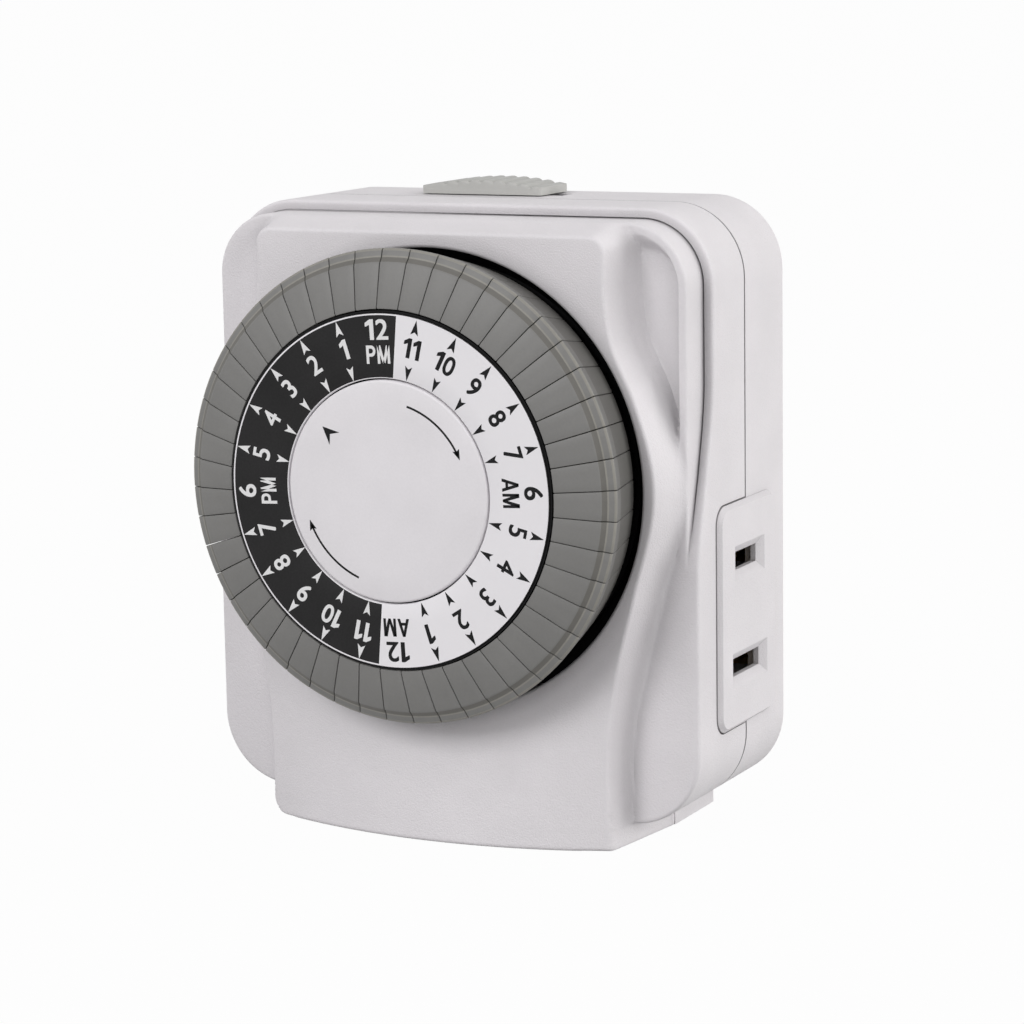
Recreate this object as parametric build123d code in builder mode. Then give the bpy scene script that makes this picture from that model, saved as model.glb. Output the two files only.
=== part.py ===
"""Plug-in 24-hour timer switch.

Frame: +X right, -Y out of the front, +Z up. The origin is on the back face, midway between the two
plug blades. "Depth" below always means the distance in front of the back face, so depth = -Y.
"""
import os
from math import atan2, cos, degrees, hypot, pi, radians, sin, sqrt, tan

from build123d import *

# ---------------------------------------------------------------- driving dimensions, mm
# body outline, seen from the front
body_width = 63.9
body_height = 71.6
body_centre_z = -12.65
corner_radius = 8.7
wall = 2.0
cavity_corner = 6.0

# depths of the housing's levels
back_wall = 2.0
seam_depth = 12.0
shoulder_depth = 21.35
rim_depth = 26.1
panel_depth = 31.0
front_wall_inside = 22.0
chin_bulge = 4.4
chin_sag = 11.2
chin_start_z = -28.0
chin_hollow_width = 29.0

# cover rim, pockets and raised panel
rim_inset = 1.3
rim_width = 1.5
rim_edge_radius = 0.4
body_edge_radius = 0.5
back_edge = 0.35
pocket_depth = 1.7
pocket_top = 19.6
panel_half_width = 22.3
panel_bulge_half_width = 28.75
panel_top = 20.6
panel_edge_radius = 0.6
flank_width = 1.6
foot_height = 2.4
foot_half_width = 24.5
foot_corner = 3.0
foot_back_depth = 4.8
foot_joint_depth = 16.4
foot_front_depth = 22.0

# dial
dial_z = -8.15
dial_turn_deg = -2.9
recess_radius = 27.4
recess_skirt = 1.5
plate_radius = 20.5
plate_inner_radius = 13.3
plate_thickness = 0.8
plate_front_depth = 41.2
drum_radius = 20.75
drum_wall = 1.4
drum_floor = 1.4
cap_radius = 13.1
cap_thickness = 1.5
cap_proud = 0.15
cap_stem_radius = 2.4
post_radius = 5.0
post_cap_gap = 1.45
stem_length = 13.45
hub_wall = 2.4

# tappets round the dial
hours = 24
tappets_per_hour = 2
tappet_gap = 0.16
tappet_inner_gap = 0.12
tappet_inner_front_depth = 41.0
tappet_front_depth = 39.4
tappet_flat_radius = 26.3
tappet_rim_radius = 27.6
tappet_rim_drop = 0.7
tappet_back_radius = 25.9
tappet_back_depth = 30.4
tappet_travel = 3.0
tail_inner_radius = 22.4
tail_outer_radius = 24.6
tail_width = 1.9
tail_end_depth = 25.6
flange_radius = 25.2
flange_thickness = 1.2
flange_back_depth = 25.9
flange_slot_gap = 0.1

# fits
running_gap = 0.06
seat_gap = 0.05
sliding_gap = 0.12
side_gap = 0.2

# gear train
module_mm = 0.3
backlash = 0.08
tooth_addendum = 0.8
tooth_dedendum = 1.1
tooth_flank_deg = 22.0
tooth_root_deg = 8.0
dial_teeth = 80
dial_pinion_teeth = 8
clutch_teeth = 72
wheel_teeth = [48, 60, 64, 64]
pinion_teeth = [8, 8, 6, 8]
rotor_teeth = 8
wheel_thickness = 1.0
layer_pitch = 1.5
first_layer_depth = 17.6
pinion_length = 1.3
pivot_radius = 0.45
pivot_length = 0.9
dial_pinion_angle = 40.0
clutch_link_side = 1
motor_x, motor_z = 0.0, -33.0
first_link_angle = 50.0
second_link_angle = 80.0
third_link_angle = 134.0

# mechanism plate, rear gear plate and pillars
mechanism_plate_thickness = 1.6
mechanism_plate_clearance = 0.8
mechanism_plate_bottom_gap = 6.3
mechanism_plate_corner = 5.0
gear_plate_depth = 9.4
gear_plate_thickness = 1.0
gear_plate_margin = 3.0
pillar_radius = 1.5
pillar_places = [(20.5, -9.0), (4.5, 13.0), (-13.4, -5.0)]
plate_screw_side_inset = 10.5
plate_screw_end_inset = 4.0
plate_screw_radius = 0.95
plate_screw_bite = 2.6

# motor
motor_radius = 11.0
motor_back_depth = 6.4
motor_front_depth = 15.4
motor_wall = 0.6
coil_inner_radius = 5.6
rotor_radius = 4.6
motor_ear_reach = 14.0
motor_ear_angle = -25.0
motor_ear_radius = 2.2

# plug blades (two-pin, polarised) and bus bars
blade_pitch = 12.7
line_blade_width = 6.35
neutral_blade_width = 7.9
blade_thickness = 1.5
blade_reach = 16.5
blade_tip_chamfer = 1.2
bus_thickness = 0.6
bus_height = 5.0

# outlets in the two sides
outlet_z = -24.9
outlet_depth = 12.2
line_slot_width = 7.0
neutral_slot_width = 8.6
slot_height = 2.15
funnel_width = 1.0
funnel_depth = 0.75
pad_raise = 0.6
pad_height = 26.9
pad_front_depth = 20.9
pad_back_depth = 4.0
pad_corner = 2.2
pad_edge = 0.5
clip_length = 8.0
clip_width = 5.6
clip_mouth = 1.3
clip_end_gap = 1.4
slot_lip = 1.4
slot_relief = 1.2

# switch: follower lever, leaf and contacts
follower_tappet = 7
follower_radius = 23.2
lever_pivot_z = -7.5
lever_depth = 18.2
lever_thickness = 2.0
lever_width = 4.0
lever_pin_radius = 0.75
lug_thickness = 1.2
lug_height = 3.6
lug_wall = 0.9
nose_tip_depth = 25.1
nose_neck_depth = 22.2
nose_width = 0.6
nose_height = 0.5
lever_pad_reach = 9.5
leaf_root_z = -17.0
leaf_thickness = 0.3
leaf_front_depth = 15.4
leaf_width = 4.0
leaf_tip_z = 9.0
contact_radius = 1.3
contact_thickness = 0.7
contact_gap = 2.6

# override slider on the top
slider_length = 16.2
slider_depth_size = 7.4
slider_depth = 6.0
slider_rest_x = -3.5
slider_travel = 7.2
slider_end_height = 0.95
slider_crown = 1.8
slider_grooves = 8
slider_groove_pitch = 1.65
slider_groove_radius = 0.75
slider_groove_depth = 0.26
slider_groove_shift = 0.85
slider_stem_length = 5.0
slider_stem_thickness = 3.0
slider_foot_length = 9.0
slider_foot_thickness = 1.0

# screws
housing_screw_inset = 7.3
housing_screw_radius = 1.2
housing_screw_head = 2.4
housing_screw_head_depth = 1.3
screw_head_back = 0.7
boss_radius = 3.0

# ---------------------------------------------------------------- derived sizes
body_top = body_centre_z + body_height / 2
body_bottom = body_centre_z - body_height / 2
half_width = body_width / 2
hour_pitch = 360 / hours
tappet_pitch = hour_pitch / tappets_per_hour
dial_top_deg = 90 - dial_turn_deg
mechanism_back_depth = front_wall_inside - mechanism_plate_thickness
line_slot_z = outlet_z + blade_pitch / 2
neutral_slot_z = outlet_z - blade_pitch / 2
follower_angle = dial_top_deg + follower_tappet * tappet_pitch
follower_x = follower_radius * cos(radians(follower_angle))
follower_z = dial_z + follower_radius * sin(radians(follower_angle))
foot_bottom = body_bottom - foot_height
housing_screw_x = half_width - housing_screw_inset
housing_screw_top_z = body_top - housing_screw_inset
housing_screw_bottom_z = body_bottom + housing_screw_inset
mechanism_plate_half_width = half_width - wall - mechanism_plate_clearance
mechanism_plate_top = body_top - wall - mechanism_plate_clearance
mechanism_plate_bottom = body_bottom + wall + mechanism_plate_bottom_gap
plate_screw_x = mechanism_plate_half_width - plate_screw_side_inset
plate_screw_top_z = mechanism_plate_top - plate_screw_end_inset
plate_screw_bottom_z = mechanism_plate_bottom + plate_screw_end_inset
screw_places = [(x, z) for x in (-housing_screw_x, housing_screw_x)
                for z in (housing_screw_bottom_z, housing_screw_top_z)]
plate_screw_places = [(x, z) for x in (-plate_screw_x, plate_screw_x)
                      for z in (plate_screw_bottom_z, plate_screw_top_z)]
cap_front_depth = plate_front_depth + cap_proud
cap_back_depth = cap_front_depth - cap_thickness
post_front_depth = cap_back_depth - post_cap_gap
stem_back_depth = cap_back_depth - stem_length
seat_depth = plate_front_depth - plate_thickness

os.makedirs("parts", exist_ok=True)


def front_plane(depth):
    """The plane parallel to the back face, a given depth in front of it; extrudes go forward."""
    return Plane.XZ.offset(depth)


def dial_plane(depth):
    """The same, centred on the dial's axis."""
    return Plane(origin=(0, -depth, dial_z), x_dir=(1, 0, 0), z_dir=(0, -1, 0))


def polar(radius, angle):
    """A point round a centre, as x and z."""
    return radius * cos(radians(angle)), radius * sin(radians(angle))


def bearing(start, end):
    """The direction from one point to another, in degrees."""
    return degrees(atan2(end[1] - start[1], end[0] - start[0]))


def gear_points(teeth, pointing, tooth):
    """The outline of a gear with straight-sided teeth. A tooth, or a gap, points one way."""
    pitch_radius = module_mm * teeth / 2
    half = pi * module_mm / 4 - backlash / 2
    root, tip = pitch_radius - tooth_dedendum * module_mm, pitch_radius + tooth_addendum * module_mm
    root_half = half + (pitch_radius - root) * tan(radians(tooth_root_deg))
    tip_half = half - (tip - pitch_radius) * tan(radians(tooth_flank_deg))
    flank = [(root, root_half), (pitch_radius, half), (tip, tip_half)]
    start = pointing if tooth else pointing + 180 / teeth
    outline = []
    for index in range(teeth):
        centre = start + index * 360 / teeth
        outline += [polar(radius, centre - degrees(width / radius)) for radius, width in flank]
        outline += [polar(radius, centre + degrees(width / radius)) for radius, width in reversed(flank)]
    return outline


def gear(teeth, pointing, tooth):
    """Draws that outline in the sketch it is called from."""
    Polygon(*gear_points(teeth, pointing, tooth), align=None)


def save(part, label):
    """Names a finished piece and writes it."""
    part.label = label
    export_step(part, f"parts/{label}.step")


# ---------------------------------------------------------------- panel outline
# Half of the raised panel's outline from top to bottom; it swells round the dial.
swell = panel_bulge_half_width - panel_half_width
panel_half = [
    (panel_half_width, panel_top),
    (panel_half_width + 0.015 * swell, dial_z + 21.4),
    (panel_half_width + 0.14 * swell, dial_z + 16.9),
    (panel_half_width + 0.628 * swell, dial_z + 10.2),
    (panel_bulge_half_width, dial_z + 0.8),
    (panel_half_width + 0.581 * swell, dial_z - 12.6),
    (panel_half_width + 0.248 * swell, dial_z - 20.5),
    (panel_half_width + 0.031 * swell, dial_z - 28.0),
    (panel_half_width, foot_bottom),
]
panel_other_half = [(-x, z) for x, z in reversed(panel_half)]

# ---------------------------------------------------------------- front housing
# The full-width part of the cover: its front stands at the rim's level below, and steps back to the
# shoulder round the upper three sides along an S-shaped slope.
merge_z = dial_z - 9.8
with BuildPart() as shoulder_cut:
    with BuildSketch(Plane.YZ.offset(-half_width - 1)):
        with BuildLine():
            Polyline(
                (-rim_depth, merge_z), (-rim_depth - 5, merge_z), (-rim_depth - 5, body_top + 1),
                (-shoulder_depth, body_top + 1), (-shoulder_depth, dial_z + 11),
            )
            Spline(
                (-shoulder_depth, dial_z + 11), (-shoulder_depth - 1.9, dial_z + 0.5), (-rim_depth, merge_z),
                tangents=((0, -1), (-0.35, -1)),
            )
        make_face()
    extrude(amount=body_width + 2)

# The hollow beside each edge of the panel, inside the rim: it runs out downwards.
with BuildPart() as pockets:
    pocket_floor = rim_depth - pocket_depth
    with BuildSketch(Plane.YZ.offset(-half_width)):
        with BuildLine():
            Polyline(
                (-pocket_floor, pocket_top), (-rim_depth - 1, pocket_top), (-rim_depth - 1, dial_z - 12),
                (-rim_depth, dial_z - 9), (-pocket_floor, dial_z + 6), (-pocket_floor, pocket_top),
            )
        make_face()
    extrude(amount=body_width)
    with BuildSketch(front_plane(pocket_floor - 1)):
        inside = rim_inset + rim_width
        with Locations((0, body_centre_z)):
            RectangleRounded(body_width - 2 * inside, body_height - 2 * inside, corner_radius - inside)
    extrude(amount=rim_depth + 3 - pocket_floor, mode=Mode.INTERSECT)
    with BuildSketch(front_plane(pocket_floor - 1)):
        with BuildLine():
            Polyline(panel_other_half[-1], panel_half[0])
            Spline(*panel_half, tangents=((0, -1), (0, -1)))
            Polyline(panel_half[-1], panel_other_half[0])
            Spline(*panel_other_half, tangents=((0, 1), (0, 1)))
        make_face()
    extrude(amount=rim_depth + 3 - pocket_floor, mode=Mode.SUBTRACT)

# The space in front of the raised panel: flat above, and bulging forward over the chin at the bottom.
clear_depth = panel_depth + chin_bulge + body_edge_radius + 6.7
with BuildPart() as before_panel:
    with BuildSketch(Plane.YZ.offset(-half_width - 1)):
        with Locations((-(panel_depth + clear_depth) / 2, (body_top + chin_start_z) / 2 + 2.5)):
            Rectangle(clear_depth - panel_depth, body_top - chin_start_z + 5)
    extrude(amount=body_width + 2)
    reach = half_width + 1
    with BuildSketch(Plane.XY.offset(chin_start_z)):
        with BuildLine():
            Polyline((reach, -panel_depth), (reach, -clear_depth), (-reach, -clear_depth), (-reach, -panel_depth),
                     (reach, -panel_depth))
        make_face()
    with BuildSketch(Plane.XY.offset(foot_bottom - 3)):
        with BuildLine():
            chin_front = panel_depth + chin_bulge
            ThreePointArc((-reach, -chin_front + chin_sag), (0, -chin_front), (reach, -chin_front + chin_sag))
            Polyline((reach, -chin_front + chin_sag), (reach, -clear_depth), (-reach, -clear_depth),
                     (-reach, -chin_front + chin_sag))
        make_face()
    loft(ruled=True)

# The raised panel with its sloping flanks.
with BuildPart() as panel:
    for depth in (front_wall_inside, panel_depth + chin_bulge + 0.2):
        grow = flank_width * (panel_depth - depth) / (panel_depth - pocket_floor)
        right = [(x + grow, z) for x, z in panel_half]
        right[0] = (panel_half_width + grow, panel_top + grow)
        left = [(-x, z) for x, z in reversed(right)]
        with BuildSketch(front_plane(depth)):
            with BuildLine():
                Polyline(left[-1], right[0])
                Spline(*right, tangents=((0, -1), (0, -1)))
                Polyline(right[-1], left[0])
                Spline(*left, tangents=((0, 1), (0, 1)))
            make_face()
    loft(ruled=True)
    add(before_panel.part, mode=Mode.SUBTRACT)
    with BuildSketch(front_plane(0)):
        with Locations((0, foot_bottom - 5)):
            Rectangle(body_width, 10)
    extrude(amount=clear_depth, mode=Mode.SUBTRACT)
    # above the dial's middle the flanks end on the cover's outline
    with BuildSketch(front_plane(front_wall_inside - 1)):
        with Locations((0, dial_z + body_height / 2)):
            Rectangle(body_width + 4, body_height)
        with Locations((0, body_centre_z)):
            RectangleRounded(body_width - 2 * rim_inset, body_height - 2 * rim_inset,
                             corner_radius - rim_inset, mode=Mode.SUBTRACT)
    extrude(amount=clear_depth, mode=Mode.SUBTRACT)
    # round its front edges, all but the faint crease where the chin begins
    front_faces = panel.faces().filter_by(lambda face: face.normal_at(face.center()).Y < -0.7)
    front_edges = front_faces.edges().filter_by(lambda edge: abs(edge.center().Z - chin_start_z) > 0.6)
    fillet(front_edges, radius=panel_edge_radius)

with BuildPart() as front_housing:
    with BuildSketch(front_plane(seam_depth)):
        with Locations((0, body_centre_z)):
            RectangleRounded(body_width, body_height, corner_radius)
    extrude(amount=rim_depth - seam_depth)
    fillet(front_housing.faces().sort_by(Axis.Y)[0].edges(), radius=body_edge_radius)
    add(shoulder_cut.part, mode=Mode.SUBTRACT)
    # the cover's own outline, inside that step
    with BuildPart(mode=Mode.PRIVATE) as cover:
        with BuildSketch(front_plane(front_wall_inside - 2)):
            with Locations((0, body_centre_z)):
                RectangleRounded(body_width - 2 * rim_inset, body_height - 2 * rim_inset,
                                 corner_radius - rim_inset)
        extrude(amount=rim_depth + 2 - front_wall_inside)
        fillet(cover.faces().sort_by(Axis.Y)[0].edges(), radius=rim_edge_radius)
    add(cover.part)
    add(pockets.part, mode=Mode.SUBTRACT)
    add(panel.part)
    # foot under the body, behind the chin
    with BuildSketch(Plane.XY.offset(foot_bottom)):
        with Locations((0, -(foot_joint_depth + foot_front_depth) / 2)):
            Rectangle(2 * foot_half_width, foot_front_depth - foot_joint_depth)
    extrude(amount=foot_height + wall)
    # inside of the shell
    with BuildSketch(front_plane(seam_depth)):
        with Locations((0, body_centre_z)):
            RectangleRounded(body_width - 2 * wall, body_height - 2 * wall, cavity_corner)
    extrude(amount=front_wall_inside - seam_depth, mode=Mode.SUBTRACT)
    # hollow behind the chin
    with BuildSketch(front_plane(front_wall_inside)):
        hollow_top = dial_z - recess_radius - recess_skirt - 1.2
        with Locations((0, (hollow_top + body_bottom + wall) / 2)):
            Rectangle(chin_hollow_width, hollow_top - body_bottom - wall)
    extrude(amount=panel_depth - wall - front_wall_inside, mode=Mode.SUBTRACT)
    # well for the dial, right through the front wall
    with BuildSketch(dial_plane(seam_depth)):
        Circle(recess_radius)
    extrude(amount=panel_depth + chin_bulge + 2 - seam_depth, mode=Mode.SUBTRACT)
    # notches in the side walls for the outlet pads
    for side in (-1, 1):
        with BuildSketch(Plane.YZ.offset(side * (half_width + 1))):
            notch_front = pad_front_depth + sliding_gap
            with Locations((-(seam_depth + notch_front) / 2 + 1, outlet_z)):
                RectangleRounded(notch_front - seam_depth + 2, pad_height + 2 * sliding_gap, pad_corner)
        extrude(amount=-side * (wall + 1.4), mode=Mode.SUBTRACT)
    # bosses for the housing screws, in the four corners
    with BuildSketch(front_plane(seam_depth)):
        for x in (-housing_screw_x, housing_screw_x):
            for z in (housing_screw_top_z, housing_screw_bottom_z):
                with Locations((x, z)):
                    Circle(boss_radius)
    extrude(amount=front_wall_inside - seam_depth)
    for x in (-housing_screw_x, housing_screw_x):
        for z in (housing_screw_top_z, housing_screw_bottom_z):
            with BuildSketch(front_plane(seam_depth)):
                with Locations((x, z)):
                    Circle(housing_screw_radius + seat_gap)
            extrude(amount=front_wall_inside - seam_depth - 1, mode=Mode.SUBTRACT)
    # pilot holes for the mechanism plate's screws
    for x in (-plate_screw_x, plate_screw_x):
        for z in (plate_screw_top_z, plate_screw_bottom_z):
            with BuildSketch(front_plane(front_wall_inside)):
                with Locations((x, z)):
                    Circle(plate_screw_radius + seat_gap)
            extrude(amount=plate_screw_bite, mode=Mode.SUBTRACT)
save(front_housing.part, "front_housing")

# ---------------------------------------------------------------- rear housing with outlet pads
with BuildPart() as rear_housing:
    with BuildSketch(front_plane(0)):
        with Locations((0, body_centre_z)):
            RectangleRounded(body_width, body_height, corner_radius)
    extrude(amount=seam_depth - seat_gap)
    chamfer(rear_housing.faces().sort_by(Axis.Y)[-1].edges(), length=back_edge)
    with BuildSketch(front_plane(back_wall)):
        with Locations((0, body_centre_z)):
            RectangleRounded(body_width - 2 * wall, body_height - 2 * wall, cavity_corner)
    extrude(amount=seam_depth, mode=Mode.SUBTRACT)
    # its part of the foot, which reaches forward under the cover
    foot_end = foot_joint_depth - seat_gap
    with BuildSketch(Plane.XY.offset(foot_bottom)):
        with Locations((0, -(foot_end + foot_back_depth) / 2)):
            Rectangle(2 * foot_half_width, foot_end - foot_back_depth)
    extrude(amount=foot_height - seat_gap)
    with BuildSketch(Plane.XY.offset(body_bottom - seat_gap - 0.5)):
        with Locations((0, -(seam_depth - seat_gap + foot_back_depth) / 2)):
            Rectangle(2 * foot_half_width, seam_depth - seat_gap - foot_back_depth)
    extrude(amount=wall / 2 + seat_gap + 0.5)
    # raised pads, whose tongues reach forward past the seam
    for side in (-1, 1):
        inner = half_width - wall
        with BuildSketch(Plane.YZ.offset(side * inner)):
            with Locations((-(pad_front_depth + pad_back_depth) / 2, outlet_z)):
                RectangleRounded(pad_front_depth - pad_back_depth, pad_height, pad_corner)
        extrude(amount=side * (wall + pad_raise), mode=Mode.ADD)
    outer = rear_housing.faces().filter_by(Axis.X)
    for face in (outer.sort_by(Axis.X)[0], outer.sort_by(Axis.X)[-1]):
        chamfer(face.edges(), length=pad_edge)
    # blade slots with a bevelled funnel
    for side in (-1, 1):
        pad_face = side * (half_width + pad_raise)
        for z, width in ((line_slot_z, line_slot_width), (neutral_slot_z, neutral_slot_width)):
            with BuildSketch(Plane.YZ.offset(pad_face)):
                with Locations((-outlet_depth, z)):
                    Rectangle(width, slot_height)
            extrude(amount=-side * (wall + pad_raise + 1), mode=Mode.SUBTRACT)
            with BuildSketch(Plane.YZ.offset(pad_face)):
                with Locations((-outlet_depth, z)):
                    Rectangle(width + 2 * funnel_width, slot_height + 2 * funnel_width)
            with BuildSketch(Plane.YZ.offset(pad_face - side * funnel_depth)):
                with Locations((-outlet_depth, z)):
                    Rectangle(width, slot_height)
            loft(ruled=True, mode=Mode.SUBTRACT)
            # the wall is thinned round the slot from inside
            with BuildSketch(Plane.YZ.offset(pad_face - side * slot_lip)):
                with Locations((-outlet_depth, z)):
                    Rectangle(width + 2 * slot_relief, slot_height + 2 * slot_relief)
            extrude(amount=-side * (wall + pad_raise), mode=Mode.SUBTRACT)
    # slots for the plug blades
    for x, width in ((blade_pitch / 2, line_blade_width), (-blade_pitch / 2, neutral_blade_width)):
        with BuildSketch(front_plane(-1)):
            with Locations((x, 0)):
                Rectangle(blade_thickness + 2 * seat_gap, width + 2 * seat_gap)
        extrude(amount=back_wall + 2, mode=Mode.SUBTRACT)
    # slot in the top for the override slider's stem
    with BuildSketch(Plane.XY.offset(body_top - wall - 1)):
        with Locations((slider_rest_x + slider_travel / 2, -slider_depth)):
            Rectangle(slider_travel + slider_stem_length + 2 * side_gap, slider_stem_thickness + 2 * sliding_gap)
    extrude(amount=wall + 2, mode=Mode.SUBTRACT)
    # bosses for the housing screws and their counterbored holes
    with BuildSketch(front_plane(back_wall)):
        with Locations(*screw_places):
            Circle(boss_radius)
    extrude(amount=seam_depth - seat_gap - back_wall)
    with BuildSketch(front_plane(-1)):
        with Locations(*screw_places):
            Circle(housing_screw_radius + side_gap)
    extrude(amount=seam_depth + 2, mode=Mode.SUBTRACT)
    with BuildSketch(front_plane(-1)):
        with Locations(*screw_places):
            Circle(housing_screw_head + side_gap)
    extrude(amount=1 + screw_head_back + housing_screw_head_depth, mode=Mode.SUBTRACT)
save(rear_housing.part, "rear_housing")

# four pan-head screws hold the two housings together from behind
with BuildPart() as housing_screws:
    with BuildSketch(front_plane(screw_head_back)):
        with Locations(*screw_places):
            Circle(housing_screw_head)
    extrude(amount=housing_screw_head_depth)
    with BuildSketch(front_plane(screw_head_back + housing_screw_head_depth)):
        with Locations(*screw_places):
            Circle(housing_screw_radius)
    extrude(amount=front_wall_inside - 1.5 - screw_head_back - housing_screw_head_depth)
    with BuildSketch(front_plane(screw_head_back)):
        with Locations(*screw_places):
            Rectangle(3.2, 0.6)
            Rectangle(0.6, 3.2)
    extrude(amount=0.7, mode=Mode.SUBTRACT)
save(housing_screws.part, "housing_screws")

# ---------------------------------------------------------------- gear positions
rotor_at = (motor_x, motor_z)
motor_ears = [(motor_x + reach * cos(radians(motor_ear_angle)), motor_z + reach * sin(radians(motor_ear_angle)))
              for reach in (-motor_ear_reach, motor_ear_reach)]


def step(start, distance, angle):
    """The point a distance away from another in a given direction."""
    return start[0] + distance * cos(radians(angle)), start[1] + distance * sin(radians(angle))


def centre_distance(first_teeth, second_teeth):
    """How far apart two meshing gears stand."""
    return module_mm * (first_teeth + second_teeth) / 2


dial_pinion_at = step((0, dial_z), centre_distance(dial_teeth, dial_pinion_teeth), dial_pinion_angle)
gear_at = [step(rotor_at, centre_distance(rotor_teeth, wheel_teeth[0]), first_link_angle)]
gear_at.append(step(gear_at[0], centre_distance(pinion_teeth[0], wheel_teeth[1]), second_link_angle))
gear_at.append(step(gear_at[1], centre_distance(pinion_teeth[1], wheel_teeth[2]), third_link_angle))
# the fourth wheel stands where its distances to the third and to the clutch gear both fit
near = centre_distance(pinion_teeth[2], wheel_teeth[3])
far = centre_distance(pinion_teeth[3], clutch_teeth)
span = hypot(dial_pinion_at[0] - gear_at[2][0], dial_pinion_at[1] - gear_at[2][1])
swing = degrees(atan2(sqrt(near**2 - ((near**2 - far**2 + span**2) / (2 * span)) ** 2),
                      (near**2 - far**2 + span**2) / (2 * span)))
gear_at.append(step(gear_at[2], near, bearing(gear_at[2], dial_pinion_at) + clutch_link_side * swing))

# ---------------------------------------------------------------- mechanism plate with the dial post
lug_half = lever_width / 2 + side_gap + 0.1
lug_end_depth = lever_depth - lever_pin_radius - lug_wall
with BuildPart() as mechanism_plate:
    with BuildSketch(front_plane(mechanism_back_depth)):
        with Locations((0, (mechanism_plate_top + mechanism_plate_bottom) / 2)):
            RectangleRounded(2 * mechanism_plate_half_width, mechanism_plate_top - mechanism_plate_bottom,
                             mechanism_plate_corner)
    extrude(amount=mechanism_plate_thickness - seat_gap)
    # notches round the housing's screw bosses
    with BuildSketch(front_plane(mechanism_back_depth)):
        with Locations(*screw_places):
            Circle(boss_radius + side_gap)
    extrude(amount=mechanism_plate_thickness, mode=Mode.SUBTRACT)
    with BuildSketch(dial_plane(mechanism_back_depth)):
        Circle(post_radius)
    extrude(amount=post_front_depth - mechanism_back_depth)
    # lugs that carry the follower lever's pin
    for side in (-1, 1):
        with BuildSketch(Plane.YZ.offset(follower_x + side * lug_half)):
            with Locations((-(mechanism_back_depth + lug_end_depth) / 2, lever_pivot_z)):
                Rectangle(mechanism_back_depth - lug_end_depth, lug_height)
            with Locations((-lever_depth, lever_pivot_z)):
                Circle(lever_pin_radius + seat_gap, mode=Mode.SUBTRACT)
        extrude(amount=side * lug_thickness)
    # blind bore in the post for the cap's stem
    with BuildSketch(dial_plane(stem_back_depth - 0.5)):
        Circle(cap_stem_radius + seat_gap)
    extrude(amount=post_front_depth - stem_back_depth + 0.5, mode=Mode.SUBTRACT)
    # window for the follower's nose
    with BuildSketch(front_plane(mechanism_back_depth - 4)):
        with Locations((follower_x, follower_z - 0.4)):
            Rectangle(nose_width + 1.4, 4.4)
    extrude(amount=mechanism_plate_thickness + 5, mode=Mode.SUBTRACT)
    # holes: front pivots of the gears, the dial pinion's shaft, screws and pillar screws
    for place in gear_at:
        with BuildSketch(front_plane(mechanism_back_depth)):
            with Locations(place):
                Circle(pivot_radius + running_gap)
        extrude(amount=pivot_length + 0.2, mode=Mode.SUBTRACT)
    with BuildSketch(front_plane(mechanism_back_depth)):
        with Locations(dial_pinion_at):
            Circle(0.8 + running_gap)
    extrude(amount=mechanism_plate_thickness, mode=Mode.SUBTRACT)
    with BuildSketch(front_plane(mechanism_back_depth)):
        with Locations(*plate_screw_places):
            Circle(plate_screw_radius + side_gap)
        with Locations(*pillar_places):
            Circle(0.7)
    extrude(amount=mechanism_plate_thickness, mode=Mode.SUBTRACT)
save(mechanism_plate.part, "mechanism_plate")

with BuildPart() as plate_screws:
    with BuildSketch(front_plane(mechanism_back_depth - 1.1 - seat_gap)):
        with Locations(*plate_screw_places):
            Circle(1.9)
    extrude(amount=1.1)
    with BuildSketch(front_plane(mechanism_back_depth - seat_gap)):
        with Locations(*plate_screw_places):
            Circle(plate_screw_radius)
    extrude(amount=mechanism_plate_thickness + plate_screw_bite - 0.2)
    with BuildSketch(front_plane(mechanism_back_depth - 1.1 - seat_gap)):
        with Locations(*plate_screw_places):
            Rectangle(2.4, 0.5)
            Rectangle(0.5, 2.4)
    extrude(amount=0.5, mode=Mode.SUBTRACT)
save(plate_screws.part, "plate_screws")

# ---------------------------------------------------------------- rear gear plate, pillars, screws
with BuildPart() as gear_plate:
    with BuildSketch(front_plane(gear_plate_depth)):
        with Locations(*pillar_places, gear_at[1], gear_at[2], gear_at[3], dial_pinion_at):
            Circle(gear_plate_margin)
        make_hull()
        with Locations(rotor_at):
            Circle(motor_radius + 0.6, mode=Mode.SUBTRACT)
        with Locations(gear_at[1], gear_at[2], gear_at[3], dial_pinion_at):
            Circle(pivot_radius + running_gap, mode=Mode.SUBTRACT)
        with Locations(*pillar_places):
            Circle(0.7, mode=Mode.SUBTRACT)
    extrude(amount=gear_plate_thickness)
save(gear_plate.part, "gear_plate")

pillar_back = gear_plate_depth + gear_plate_thickness + seat_gap
with BuildPart() as gear_pillars:
    with BuildSketch(front_plane(pillar_back)):
        with Locations(*pillar_places):
            Circle(pillar_radius)
            Circle(0.6, mode=Mode.SUBTRACT)
    extrude(amount=mechanism_back_depth - seat_gap - pillar_back)
save(gear_pillars.part, "gear_pillars")

with BuildPart() as pillar_screws:
    for place in pillar_places:
        with BuildSketch(front_plane(gear_plate_depth - 0.8 - seat_gap)):
            with Locations(place):
                Circle(1.3)
        extrude(amount=0.8)
        with BuildSketch(front_plane(gear_plate_depth - seat_gap)):
            with Locations(place):
                Circle(0.55)
        extrude(amount=mechanism_back_depth + mechanism_plate_thickness - 0.3 - gear_plate_depth)
        with BuildSketch(front_plane(gear_plate_depth - 0.8 - seat_gap)):
            with Locations(place):
                Rectangle(1.8, 0.35)
        extrude(amount=0.35, mode=Mode.SUBTRACT)
save(pillar_screws.part, "pillar_screws")

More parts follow.
